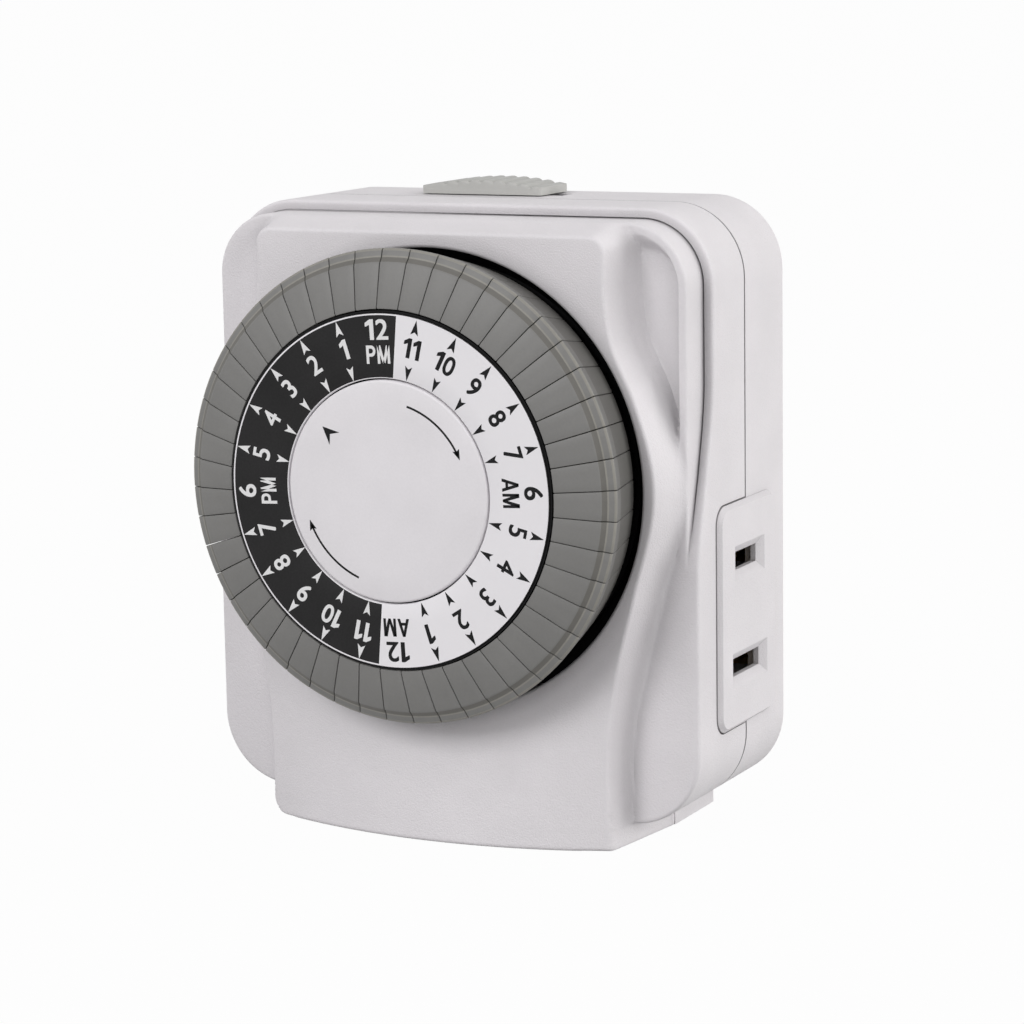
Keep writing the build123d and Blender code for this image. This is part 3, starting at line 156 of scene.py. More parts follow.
# ------------------------------------------------------------------ front cover
# The front half of the housing is one moulding in white ABS with a fine spark-eroded grain.
# A raised panel swells round the dial's well and runs down into a chin; hollows lie beside it,
# and a narrow ledge steps back to the body round the upper three sides.
# lengths are in mm; a depth is measured forward from the back face, and a z up from the blades' line
body_half_width, body_top, body_bottom, body_corner = 31.95, 23.15, -48.45, 8.7
seam_depth, shoulder_depth, rim_depth, panel_depth, hollow_depth = 12.0, 21.35, 26.1, 31.0, 24.4
shell_wall, front_wall_inside, side_wall_inside = 2.0, 22.0, 20.3
dial_z, well_z, well_radius, well_edge = -8.15, -8.37, 27.15, 0.4
# the ledge, the fine crevice at the rim's foot, and the hollows: how each is rounded and where it fades
ledge_width, ledge_edge, rim_width, rim_edge, rim_blend = 1.3, 0.45, 2.0, 0.4, 3.0
ledge_sweep_start_z, ledge_sweep_height = 3.0, 20.8
crevice_start, crevice_depth, crevice_low_z, crevice_fade = 1.13, 0.55, -14, 8
crevice_left_x, crevice_spread, crevice_faintest = -12, 20, 0.25
hollow_lip, hollow_slope, hollow_steep_slope, left_hollow, right_hollow = 2.2, 2.4, 0.6, 0.15, 0.8
hollow_steepens_x = (24.5, 28.5)
hollow_end_z, hollow_end_share = (-17.5, -15.0, -4.0, -1.5), (0, 0.12, 0.93, 1.0)
# the foot, the panel that stands on it and the chin
foot_half_width, foot_bottom, foot_meets_body_z = 24.5, -50.85, -48.16
foot_outline_top_z, foot_below_z = -40, -44
foot_front_depth, foot_joint_depth, foot_edge = 17.2, 16.4, 0.3
foot_left_corner, foot_right_corner = 2.4, 0.25
panel_top_corner, panel_left_corner, panel_right_corner, panel_bottom_edge = 1.8, 2.2, 0.25, 0.5
panel_corner_reach, panel_meets_rim_z = 3, -13
chin_front_depth, chin_side_depth, chin_reach = 35.4, 24.2, 32.95
chin_start_z, chin_end_z, chin_ease = -28.0, -53.85, 2
# the sides, the seam, and the notch for each outlet pad
side_depth, lower_side_depth, lower_side_above_seam = 21.2, 17.0, 1.5
seam_open, seam_gap, seam_inset = 0.3, 0.03, 0.7
pad_front, pad_bottom, pad_top, pad_corner, pad_gap = 20.9, -38.35, -11.45, 2.3, 0.18
notch_inside, notch_outside, notch_past_seam = 28.3, 34.0, 3
nowhere = -1e3
# the raised panel's half width at heights from the foot's bottom to the panel's top
panel_edge = np.array([(22.6, -50.85), (22.75, -36.15), (24.0, -28.65), (26.05, -20.75), (28.75, -7.35),
                       (26.35, 2.05), (23.5, 8.75), (22.75, 13.25), (22.65, 20.6)])


def new_material(name):
    """A material with its node tree, its shader, and the place on the piece that its patterns follow."""
    made = bpy.data.materials.new(name)
    made.use_nodes = True
    tree = made.node_tree
    return made, tree, tree.nodes["Principled BSDF"], tree.nodes.new("ShaderNodeTexCoord").outputs["Object"]


def noise(tree, place, scale, detail, roughness=0.5):
    """A cloudy pattern from 0 to 1."""
    node = tree.nodes.new("ShaderNodeTexNoise")
    node.inputs["Scale"].default_value = scale
    node.inputs["Detail"].default_value = detail
    node.inputs["Roughness"].default_value = roughness
    tree.links.new(place, node.inputs["Vector"])
    return node.outputs["Fac"]


def spread(tree, source, start, end, low, high):
    """Spreads what lies between start and end over low to high."""
    node = tree.nodes.new("ShaderNodeMapRange")
    node.inputs["From Min"].default_value, node.inputs["From Max"].default_value = start, end
    node.inputs["To Min"].default_value, node.inputs["To Max"].default_value = low, high
    tree.links.new(source, node.inputs["Value"])
    return node.outputs["Result"]


def two_tones(tree, source, start, end, dark, light):
    """A dark colour up to start and a light one from end, blended between."""
    node = tree.nodes.new("ShaderNodeValToRGB")
    low, high = node.color_ramp.elements
    low.position, high.position = start, end
    low.color, high.color = (*dark, 1), (*light, 1)
    tree.links.new(source, node.inputs["Fac"])
    return node.outputs["Color"]


def blended(tree, kind, share, under, over):
    """Lays one colour over another; the share and the upper one are fixed or come from a pattern."""
    node = tree.nodes.new("ShaderNodeMix")
    node.data_type, node.blend_type = "RGBA", kind
    for socket, value in (("Factor", share), ("A", under), ("B", over)):
        if isinstance(value, bpy.types.NodeSocket):
            tree.links.new(value, node.inputs[socket])
        else:
            node.inputs[socket].default_value = value
    return node.outputs["Result"]


def embossed(tree, body, source, depth, strength):
    """Raises the surface where a pattern is high, by a depth in mm."""
    node = tree.nodes.new("ShaderNodeBump")
    node.inputs["Distance"].default_value = depth * MM
    node.inputs["Strength"].default_value = strength
    tree.links.new(source, node.inputs["Height"])
    tree.links.new(node.outputs["Normal"], body.inputs["Normal"])


def worn_edges(tree, under, colour, wear):
    """Lightens the sharp edges, which fingers rub."""
    form = tree.nodes.new("ShaderNodeNewGeometry")
    edge = spread(tree, form.outputs["Pointiness"], 0.51, 0.6, 0.0, wear)
    return blended(tree, "MIX", edge, under, (*[min(1.0, c * 1.5 + 0.04) for c in colour], 1))


def dusty_corners(tree, under, place, painted_shade):
    """Paints shade into the narrow corners, darkening the colour where other surfaces lie close, but not on
    the foot.
    """
    # painted shade: an ambient-occlusion reading darkens the colour in corners and beside raised parts
    shade_reach, unshaded_below_z, shaded_above_z = 3.2, -48.8, -47.8
    corner = tree.nodes.new("ShaderNodeAmbientOcclusion")
    corner.samples = 8
    corner.inputs["Distance"].default_value = shade_reach * MM
    corner_shade = spread(tree, corner.outputs["AO"], 0.4, 1.0, 1 - painted_shade, 1.0)
    parted = tree.nodes.new("ShaderNodeSeparateXYZ")
    tree.links.new(place, parted.inputs["Vector"])
    above_foot = spread(tree, parted.outputs["Z"], unshaded_below_z * MM, shaded_above_z * MM, 0.0, 1.0)
    return blended(tree, "MULTIPLY", above_foot, under, corner_shade)


def plastic(name, colour, roughness, grain, depth, mottle=0.03, specular=0.5, wear=0.0, painted_shade=0.0):
    """Moulded plastic with a faint mottle; its grain's size and depth are in mm."""
    made, tree, body, place = new_material(name)
    body.inputs["Specular IOR Level"].default_value = specular
    cloud = noise(tree, place, 120.0, 4.0)
    fine = noise(tree, place, 1000.0 / grain, 3.0, 0.6)
    tint = two_tones(tree, cloud, 0.3, 0.7, [c * (1 - mottle) for c in colour],
                     [min(1.0, c * (1 + mottle)) for c in colour])
    tint = blended(tree, "MULTIPLY", 1.0, tint, spread(tree, fine, 0.3, 0.7, 1 - mottle, 1.0))
    if wear:
        tint = worn_edges(tree, tint, colour, wear)
    if painted_shade:
        tint = dusty_corners(tree, tint, place, painted_shade)
    tree.links.new(tint, body.inputs["Base Color"])
    uneven = spread(tree, cloud, 0.0, 1.0, roughness - 0.06, roughness + 0.06)
    tree.links.new(uneven, body.inputs["Roughness"])
    embossed(tree, body, fine, depth, 0.6)
    return made


def place_mesh(name, mesh, sharp_deg=32.0):
    """Puts a finished mesh in the scene, smooth but for its real corners."""
    mesh.polygons.foreach_set("use_smooth", [True] * len(mesh.polygons))
    mesh.set_sharp_from_angle(angle=radians(sharp_deg))
    piece = bpy.data.objects.new(name, mesh)
    bpy.context.scene.collection.objects.link(piece)
    return piece


def tidy_mesh(name, points, faces, tones=None, merge=0.000002):
    """A mesh from points in metres, doubled points merged and faces turned outwards, each with its finish."""
    work = bmesh.new()
    corners = [work.verts.new(p) for p in points]
    for order, face in enumerate(faces):
        work.faces.new([corners[i] for i in face]).material_index = tones[order] if tones else 0
    bmesh.ops.remove_doubles(work, verts=work.verts, dist=merge)
    bmesh.ops.dissolve_degenerate(work, edges=work.edges, dist=merge)
    bmesh.ops.recalc_face_normals(work, faces=work.faces)
    mesh = bpy.data.meshes.new(name)
    work.to_mesh(mesh)
    work.free()
    return mesh


def band_faces(rings, count, closed, first=0):
    """Joins rings of points, each a closed loop of count points, and the last ring to the first if closed."""
    faces = []
    for i in range(rings if closed else rings - 1):
        here, there = first + i * count, first + (i + 1) % rings * count
        for k in range(count):
            n = (k + 1) % count
            faces.append((here + k, here + n, there + n, there + k))
    return faces


def rounding(inset, radius):
    """How far an edge rounded to a radius lies below its face, at a distance in from the edge."""
    left = np.clip(radius - inset, 0, radius)
    return radius - np.sqrt(radius ** 2 - left ** 2)


def body_inset(x, z, shrink=0.0):
    """How far inside the body's outline a point lies."""
    across_x = np.abs(x) - (body_half_width - body_corner)
    across_z = np.abs(z - (body_top + body_bottom) / 2) - ((body_top - body_bottom) / 2 - body_corner)
    outside = np.hypot(np.maximum(across_x, 0), np.maximum(across_z, 0))
    return body_corner - shrink - (outside + np.minimum(np.maximum(across_x, across_z), 0))


def foot_margin(x, z):
    """How far inside the foot's outline a point lies."""
    corner = np.where(x < 0, foot_left_corner, foot_right_corner)
    side, below = np.abs(x) - foot_half_width + corner, foot_bottom - z + corner
    outside = np.hypot(np.maximum(side, 0), np.maximum(below, 0))
    return corner - outside - np.minimum(np.maximum(side, below), 0)


def panel_width(z):
    """Half the raised panel's width at a height, and its slope there, on a smooth curve."""
    widths, heights = panel_edge[:, 0], panel_edge[:, 1]
    slopes = np.gradient(widths, heights)
    slopes[0] = slopes[-1] = 0.0
    z = np.clip(z, heights[0], heights[-1])
    k = np.clip(np.searchsorted(heights, z) - 1, 0, len(heights) - 2)
    h = heights[k + 1] - heights[k]
    t = (z - heights[k]) / h
    width = ((1 + 2 * t) * (1 - t) ** 2 * widths[k] + t * (1 - t) ** 2 * h * slopes[k]
             + t * t * (3 - 2 * t) * widths[k + 1] + t * t * (t - 1) * h * slopes[k + 1])
    lean = (6 * t * (t - 1) * (widths[k] - widths[k + 1]) / h + (1 - t) * (1 - 3 * t) * slopes[k]
            + t * (3 * t - 2) * slopes[k + 1])
    return width, lean


def beyond_corner(a, b, corner):
    """How far a point lies outside a rounded corner, from how far it lies beyond its two sides."""
    a, b = a + corner, b + corner
    return np.hypot(np.maximum(a, 0), np.maximum(b, 0)) + np.minimum(np.maximum(a, b), 0) - corner


def beyond_panel(x, z):
    """How far outside the raised panel's front edge a point lies."""
    width, lean = panel_width(z)
    side = (np.abs(x) - width) / np.sqrt(1 + lean ** 2)
    above = beyond_corner(side, z - panel_edge[-1, 1], panel_top_corner)
    below = beyond_corner(side, foot_bottom - z, np.where(x < 0, panel_left_corner, panel_right_corner))
    in_foot = np.maximum(side, np.minimum(below, side + panel_corner_reach))
    return np.where(z > dial_z, above, np.where(z < foot_below_z, in_foot, side))


def softer_max(a, b, blend):
    """The higher of two levels, with the corner between them filled."""
    near = np.clip(blend - np.abs(a - b), 0, blend) / blend
    return np.maximum(a, b) + near * near * blend / 4


def shoulder_at(z):
    """The ledge's depth: flat above, then swept forward in an S until it meets the rim."""
    t = np.clip((ledge_sweep_start_z - z) / ledge_sweep_height, 0, 1)
    return shoulder_depth + (rim_depth - shoulder_depth) * np.interp(
        t, (0, 0.1, 0.25, 0.5, 0.75, 0.9, 1), (0, 0.035, 0.15, 0.42, 0.735, 0.92, 1))


def rim_level(x, z, inset):
    """The depth of the ledge, the rim inside it and the hollows beside the panel."""
    crevice = np.where((inset > crevice_start) & (inset < ledge_width), crevice_depth, 0)
    crevice = crevice * np.clip((z - crevice_low_z) / crevice_fade, 0, 1)
    crevice = crevice * np.clip((x - crevice_left_x) / crevice_spread, crevice_faintest, 1)
    ledge = shoulder_at(z) - rounding(np.maximum(inset, 0), ledge_edge) - crevice
    rim = rim_depth - rounding(inset - ledge_width, rim_edge)
    sink = (rim_depth - hollow_depth) * np.interp(z, hollow_end_z, hollow_end_share)
    right_slope = np.interp(x, hollow_steepens_x, (hollow_slope, hollow_steep_slope))
    slope = np.where(x < 0, hollow_slope, right_slope)
    into = np.clip((inset - hollow_lip) / slope, 0, 1)
    rim = rim - sink * np.where(x < 0, left_hollow, right_hollow) * into * into * (3 - 2 * into)
    return np.where(inset >= ledge_width, np.maximum(rim, np.where(inset > rim_width, nowhere, ledge)), ledge)


def panel_level(x, z, inset):
    """The raised panel's depth: flat above, bowed and drawn forward into the chin below, its edge rounded."""
    drop = chin_start_z - z
    eased = np.where(drop < chin_ease, (drop + chin_ease) ** 2 / (4 * chin_ease), drop)
    drop = np.where(drop < -chin_ease, 0, eased) / (chin_start_z - chin_end_z)
    sag = chin_front_depth - chin_side_depth
    bow = (chin_reach ** 2 + sag ** 2) / (2 * sag)
    chin = chin_front_depth - (bow - np.sqrt(bow ** 2 - np.minimum(x * x, chin_reach ** 2)))
    panel = panel_depth + drop * (chin - panel_depth)
    # the edge is an arc, given in shares of its radius, then a flank that is steepest at the foot
    ridge, arc_start, arc_end, arc_drop = 0.5, -0.787, 0.185, 0.763
    out, fall = beyond_panel(x, z), np.interp(z, (-47.0, -30.0), (7.4, 4.125))
    arc = ridge - np.sqrt(np.maximum(ridge ** 2 - (out - arc_start * ridge) ** 2, 0))
    flank = arc_drop * ridge + fall * (out - arc_end * ridge)
    panel = panel - np.where(out < arc_start * ridge, 0, np.where(out < arc_end * ridge, arc, flank))
    panel = panel - rounding(np.maximum(z - foot_bottom, 0), panel_bottom_edge)
    return np.where((inset < ledge_width) & (z > panel_meets_rim_z), nowhere, panel)


def cover_depth(x, z):
    """The front surface's depth in front of the back face."""
    inset, margin = body_inset(x, z), foot_margin(x, z)
    outer = np.where(inset <= 0, nowhere, rim_level(x, z, inset))
    foot = foot_front_depth - rounding(margin, foot_edge)
    outer = np.where((margin >= -1e-6) & (z < foot_below_z), np.maximum(outer, foot), outer)
    panel = panel_level(x, z, inset)
    depth = np.where(z > body_bottom, softer_max(outer, panel, rim_blend), np.maximum(outer, panel))
    return depth - rounding(np.hypot(x, z - well_z) - well_radius, well_edge)


def in_cover(x, z):
    """Whether points lie inside the body's or the foot's outline."""
    return (body_inset(x, z) > 0) | ((foot_margin(x, z) > 0) & (z < foot_outline_top_z))


def ray_angles():
    """Angles clockwise from the top, closer together at the panel's corners, and one at each foot corner."""
    even = [np.arange(-180, 180, 0.75)]
    closer = [np.arange(146.5, 155, 0.2), np.arange(-155, -146.5, 0.2), np.arange(36, 52, 0.3),
              np.arange(-52, -36, 0.3)]
    foot_corners = ((foot_half_width, foot_meets_body_z), (foot_half_width, foot_bottom + foot_right_corner),
                    (foot_half_width - foot_right_corner, foot_bottom))
    exact = [np.degrees(np.arctan2(side * x, z - well_z)) for side in (-1, 1) for x, z in foot_corners]
    angles = np.unique(np.round(np.concatenate(even + closer + [exact]), 4))
    return angles[np.concatenate([np.diff(angles) > 0.05, [True]]) | np.isin(angles, np.round(exact, 4))]


def ray_ends(sx, cz, inside):
    """How far each ray from the well's centre runs before it leaves an outline, found by halving."""
    far_outside, halvings = 60.0, 40
    low, high = np.full(len(sx), well_radius), np.full(len(sx), far_outside)
    for _ in range(halvings):
        middle = (low + high) / 2
        ok = inside(middle * sx, well_z + middle * cz)
        low, high = np.where(ok, middle, low), np.where(ok, high, middle)
    return low


def level_radii(levels, measure, reach):
    """Along each ray from the well's centre, the radii at which a rising measure passes some levels."""
    return np.array([np.interp(levels, np.maximum.accumulate(m), r) for m, r in zip(measure, reach)])


def front_radii(sx, cz, outer):
    """Each ray's radii on the front surface, closest together at edges, and which rays end in the foot."""
    hair, wide_hair, thin_hair = 0.02, 0.03, 0.004
    rim_space, well_space, foot_stands_out = 0.25, 0.05, 0.05
    rim_insets = np.array([1.9, 1.7, 1.58, 1.47, 1.39, 1.34, 1.31, 1.301, 1.299, 1.132, 1.128, 0.8, 0.45,
                           0.3, 0.18, 0.08, 0.02, 0.0])
    hollow_insets = np.array([3.1, 2.8, 2.7, 2.6, 2.5, 2.4, 2.3, 2.2])
    panel_outs = [-1.4, -0.8, -0.394, -0.3, -0.21, -0.13, -0.05, 0.02, 0.0925, 0.35, 0.55, 0.75, 0.95,
                  1.15, 1.35, 1.55, 1.75, 2.0, 2.35]
    foot_insets = np.array([2.35, 2.28, 2.2, 2.1, 2.0, 1.9, 1.83, 1.75, 1.6, 1.4, 1.2, 1.0, 0.7, 0.5, 0.38,
                            0.27, 0.17, 0.09, 0.03, 0.0])
    mouth = well_radius + np.array([0, 0.015, 0.06, 0.14, 0.26, 0.4])
    reach = well_radius + np.linspace(0, 1, 700)[None, :] * (outer - well_radius)[:, None]
    x, z = reach * sx[:, None], well_z + reach * cz[:, None]
    rim = level_radii(-rim_insets, -body_inset(x, z), reach)
    hollow = level_radii(-hollow_insets, -body_inset(x, z), reach)
    panel = level_radii(panel_outs, beyond_panel(x, z), reach)
    foot = level_radii(-foot_insets, -foot_margin(x, z), reach)
    # rows that would cross are kept a hair apart
    order = np.arange(len(panel_outs))[None, :]
    lowest = mouth[-1] + well_space + hair * order
    highest = rim[:, :1] - rim_space - wide_hair * order[:, ::-1]
    panel = np.clip(panel, lowest, np.maximum(highest, lowest))
    order = np.arange(1, len(hollow_insets) + 1)[None, :]
    hollow = np.clip(hollow, panel[:, -1:] + hair * order, rim[:, :1] - hair * order[:, ::-1])
    plain = mouth[-1] + (panel[:, :1] - mouth[-1]) * np.linspace(0, 1, 9)[None, 1:-1]
    flank = panel[:, -1:] + (hollow[:, :1] - panel[:, -1:]) * np.linspace(0, 1, 6)[None, 1:-1]
    in_foot = outer > rim[:, -1] + foot_stands_out
    beneath = rim[:, -1:] + thin_hair * np.arange(1, len(foot_insets) + 1)[None, :]
    end = outer[:, None]
    foot = np.where(in_foot[:, None], np.clip(np.maximum(foot, beneath), None, end), end)
    foot[:, -1] = outer
    mouth_rows = np.repeat(mouth[None, :], len(outer), 0)
    return np.concatenate([mouth_rows, plain, panel, flank, hollow, rim, foot], axis=1), in_foot


def build_front_cover():
    """The cover as points on rays from the well's centre: over the front, to the seam and back inside."""
    angles = ray_angles()
    sx, cz = np.sin(np.radians(angles)), np.cos(np.radians(angles))
    outer = ray_ends(sx, cz, in_cover)
    inner = ray_ends(sx, cz, lambda x, z: body_inset(x, z, shell_wall) > 0)
    radii, in_foot = front_radii(sx, cz, outer)
    x, z = radii * sx[:, None], well_z + radii * cz[:, None]
    depth = cover_depth(x, z)
    edge = depth[:, -1]
    flat = np.ones(len(angles))
    seam = np.where(in_foot, foot_joint_depth, seam_depth)
    # down the side to the seam, in under it, up the inside and across to the well
    rest = [(outer, np.minimum(side_depth, edge)),
            (outer, np.minimum(np.maximum(lower_side_depth, seam + lower_side_above_seam), edge)),
            (outer, np.minimum(seam + seam_open, edge)), (outer - seam_inset, seam + seam_gap),
            (inner, (seam_depth + seam_gap) * flat), (inner, side_wall_inside * flat),
            (inner, front_wall_inside * flat), (well_radius * flat, front_wall_inside * flat)]
    x = np.concatenate([x] + [(r * sx)[:, None] for r, d in rest], axis=1)
    z = np.concatenate([z] + [(well_z + r * cz)[:, None] for r, d in rest], axis=1)
    depth = np.concatenate([depth] + [d[:, None] for r, d in rest], axis=1)
    points = np.stack([x, -depth, z], axis=2).reshape(-1, 3) * MM
    return tidy_mesh("front_cover", points, band_faces(len(angles), x.shape[1], True))


def cut_pad_notches(cover):
    """Cuts the notch in each side of the cover that the outlet pad's tongue fills, with a fine gap."""
    front, low, high = pad_front + pad_gap, pad_bottom - pad_gap, pad_top + pad_gap
    outline = [(seam_depth - notch_past_seam, low), (seam_depth - notch_past_seam, high)]
    for centre_z, start in ((high - pad_corner, 90), (low + pad_corner, 0)):
        for step in range(9):
            a = radians(start - 90 * step / 8)
            outline.append((front - pad_corner + pad_corner * cos(a), centre_z + pad_corner * sin(a)))
    count = len(outline)
    for side in (-1, 1):
        points = [(side * x * MM, -d * MM, z * MM)
                  for x in (notch_inside, notch_outside) for d, z in outline]
        faces = band_faces(2, count, False) + [tuple(range(count)), tuple(range(count, 2 * count))]
        cutter = bpy.data.objects.new("notch", tidy_mesh("notch", points, faces))
        bpy.context.scene.collection.objects.link(cutter)
        cut = cover.modifiers.new("notch", "BOOLEAN")
        cut.operation, cut.solver, cut.object = "DIFFERENCE", "EXACT", cutter
        bpy.context.view_layer.update()
        cut_cover = cover.evaluated_get(bpy.context.evaluated_depsgraph_get())
        mesh = bpy.data.meshes.new_from_object(cut_cover)
        cover.modifiers.remove(cut)
        cover.data = mesh
        bpy.data.objects.remove(cutter)
    cover.data.set_sharp_from_angle(angle=radians(32))


# the shell's colour carries painted shade in its narrow corners and round the dial
white_shell = plastic("white_ABS_shell", (0.775, 0.752, 0.77), 0.5, 0.2, 0.12, painted_shade=0.4)
front_cover = place_mesh("front_cover", build_front_cover())
cut_pad_notches(front_cover)
front_cover.data.materials.clear()
front_cover.data.materials.append(white_shell)
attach(front_cover, "housing")
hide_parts("front_housing")

# ------------------------------------------------------------------ rear housing
# The back half is the same white ABS, with the two outlet pads standing proud of its sides.
# It keeps its moulded shape, with crisp edges.


def dress(node, material):
    """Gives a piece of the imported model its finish."""
    piece = nodes[node]
    piece.data.materials.clear()
    piece.data.materials.append(material)
    piece.data.polygons.foreach_set("material_index", [0] * len(piece.data.polygons))


dress("rear_housing", white_shell)

# ------------------------------------------------------------------ override slider
# A grey acetal slide on the top of the case, with a low crowned back cut by eight finger grooves.
# Its stem passes through the slot in the case.
slider_x, slider_length, slider_edge, slider_bevel = -3.5, 16.2, 0.3, 0.09
slider_near, slider_far = 9.7, 2.3
slider_base, slider_end, slider_crown = 23.27, 0.95, 1.8
groove_pitch, grooves, groove_shift, groove_depth, groove_sharpness = 1.65, 8, 0.85, 0.26, 2.2
stem_half_width, stem_far, stem_near, stem_bottom, stem_overlap = 2.5, 4.8, 7.8, 20.2, 0.2


def add_block(points, faces, corners):
    """Adds a block from its eight corners, and says how many faces it has."""
    base = len(points)
    points += corners
    sides = ((0, 1, 3, 2), (4, 6, 7, 5), (0, 4, 5, 1), (2, 3, 7, 6), (0, 2, 6, 4), (1, 5, 7, 3))
    faces += [tuple(base + i for i in side) for side in sides]
    return len(sides)


def build_slider():
    """The slide's outline seen from the front, swept from its front side to its back, and its stem."""
    half, steps = slider_length / 2, 160
    outline = [(-half, 0.0)]
    for step in range(steps + 1):
        x = -half + slider_length * step / steps
        rise = slider_end + (slider_crown - slider_end) * (1 - (x / half) ** 2)
        u = (x - groove_shift) / groove_pitch + (grooves - 1) / 2
        if -0.5 <= u <= grooves - 0.5:
            rise -= groove_depth * (0.5 + 0.5 * cos(tau * u)) ** groove_sharpness
        outline.append((x, rise))
    outline.append((half, 0.0))
    edge, bevel = slider_edge, slider_bevel
    rings = ((slider_near, edge), (slider_near - bevel, bevel), (slider_near - edge, 0.0),
             (slider_far + edge, 0.0), (slider_far + bevel, bevel), (slider_far, edge))
    points = []
    for depth, shrink in rings:
        for x, rise in outline:
            height = slider_base + (max(0, rise - shrink) if rise > 0 else 0)
            points.append(Vector((slider_x + x * (half - shrink) / half, -depth, height)) * MM)
    n = len(outline)
    faces = band_faces(len(rings), n, False)
    faces += [tuple(range(n)), tuple((len(rings) - 1) * n + k for k in range(n))]
    stem_sides = (slider_x - stem_half_width, slider_x + stem_half_width)
    stem_top = slider_base + stem_overlap
    add_block(points, faces, [Vector((x, -depth, z)) * MM for x in stem_sides
                              for depth in (stem_far, stem_near) for z in (stem_bottom, stem_top)])
    return tidy_mesh("override_slide", points, faces)


slide_grey = plastic("grey_acetal_slide", (0.41, 0.41, 0.39), 0.48, 0.3, 0.006, wear=0.25)
override_slide = place_mesh("override_slide", build_slider(), 40)
override_slide.data.materials.append(slide_grey)
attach(override_slide, "override_slider")
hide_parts("override_slider")

# ------------------------------------------------------------------ tappets
# Two grey tappets stand to each hour, 48 in all, each a half-hour wedge that pushes in by hand.
# Their outer edge is chamfered so that they form one ring. Its two edges are painted lighter,
# a painted highlight that also stands for rubbing; the chamfer between, the side wall and the tails
# are painted darker, as shade.
# angles here run anticlockwise from the dial's right, and noon's pair starts at noon_deg
noon_deg, hour_deg = 92.9, 15.0
tappet_inner, tappet_gap = 20.87, 0.09
tail_radii, tail_half_width, tail_depths = (22.4, 24.6), 0.95, (25.6, 30.6)
ring_grey = plastic("grey_tappets", (0.21, 0.208, 0.2), 0.5, 0.3, 0.012, mottle=0.05, specular=0.35)
# painted highlight that also stands for rubbing: the chamfer's two edges are a lighter grey
highlight_and_rub = plastic("grey_tappet_painted_highlight_and_rub", (0.27, 0.262, 0.235), 0.5, 0.3, 0.01, mottle=0.06,
                   specular=0.35)
# painted shade: the chamfer's band is a darker grey than the face
bevel_shade = plastic("grey_tappet_bevel_painted_shade", (0.15, 0.145, 0.132), 0.5, 0.3, 0.01, mottle=0.05, specular=0.35)
# painted shade: the outer side wall is darker, and darker again further back in the well
side_painted_shade = plastic("grey_tappet_side_painted_shade", (0.16, 0.157, 0.15), 0.5, 0.3, 0.012, mottle=0.05, specular=0.3)
deep_side_painted_shade = plastic("grey_tappet_deep_side_painted_shade", (0.12, 0.117, 0.11), 0.5, 0.3, 0.012, mottle=0.05,
                       specular=0.2)
# painted shade: the tails and the wedges' back edges are near black, for the shade in the well's gap
tail_painted_shade = plastic("tappet_tail_painted_shade", (0.008, 0.008, 0.008), 0.5, 0.3, 0.01, mottle=0.1, specular=0.1)
# the order in which a pair carries its finishes
tappet_finishes = [ring_grey, highlight_and_rub, bevel_shade, tail_painted_shade, side_painted_shade, deep_side_painted_shade]
# a wedge's radius and depth at each corner of its section, and the finish from there to the next
tappet_section = [(tappet_inner + 0.12, 30.4, ring_grey), (tappet_inner, 30.55, ring_grey),
                  (tappet_inner, 40.8, ring_grey), (tappet_inner + 0.06, 40.92, ring_grey),
                  (tappet_inner + 0.2, 40.94, ring_grey), (25.9, 39.52, ring_grey), (26.02, 39.47, ring_grey),
                  (26.12, 39.38, bevel_shade), (26.6, 38.98, highlight_and_rub), (26.78, 38.9, ring_grey),
                  (27.34, 38.68, highlight_and_rub), (27.5, 38.58, highlight_and_rub), (27.58, 38.46, ring_grey),
                  (27.6, 38.34, side_painted_shade), (27.56, 38.1, side_painted_shade), (27.3, 36.9, deep_side_painted_shade),
                  (26.95, 35.3, deep_side_painted_shade), (25.94, 30.55, tail_painted_shade), (25.8, 30.4, ring_grey)]
# how far inside its end face each section stands, and by how much it shrinks, to break the edge there
broken_edge = [(0.0, 0.06), (0.04, 0.015), (0.09, 0.0)]


def tappet_wedge(points, faces, tones, start_deg, end_deg):
    """Adds one wedge: its section swept round the dial, with its two ends broken."""
    count = len(tappet_section)
    centre_r = sum(r for r, d, finish in tappet_section) / count
    centre_d = sum(d for r, d, finish in tappet_section) / count
    stations = [(start_deg, tappet_gap / 2 + offset, shrink) for offset, shrink in broken_edge]
    stations += [(start_deg + (end_deg - start_deg) * t, 0.0, 0.0) for t in (1 / 3, 2 / 3)]
    stations += [(end_deg, -(tappet_gap / 2 + offset), shrink) for offset, shrink in reversed(broken_edge)]
    base = len(points)
    for angle_deg, shift, shrink in stations:
        a = radians(angle_deg)
        for r, d, finish in tappet_section:
            r -= shrink * (1 if r > centre_r else -1)
            d -= shrink * (1 if d > centre_d else -1)
            x, z = r * cos(a) - shift * sin(a), r * sin(a) + shift * cos(a)
            points.append(Vector((x, -d, dial_z + z)) * MM)
    faces += band_faces(len(stations), count, False, base)
    tones += [tappet_finishes.index(finish) for r, d, finish in tappet_section] * (len(stations) - 1)
    faces += [tuple(base + k for k in range(count)), tuple(len(points) - count + k for k in range(count))]
    tones += [tappet_finishes.index(ring_grey)] * 2


def tappet_tail(points, faces, tones, middle_deg):
    """Adds the tail that guides a tappet in the drum's flange."""
    a = radians(middle_deg)
    sides = add_block(points, faces, [
        Vector((r * cos(a) - side * sin(a), -d, dial_z + r * sin(a) + side * cos(a))) * MM
        for r in tail_radii for side in (-tail_half_width, tail_half_width) for d in tail_depths])
    # the tail is painted near black, as shade in the well's gap
    tones += [tappet_finishes.index(tail_painted_shade)] * sides


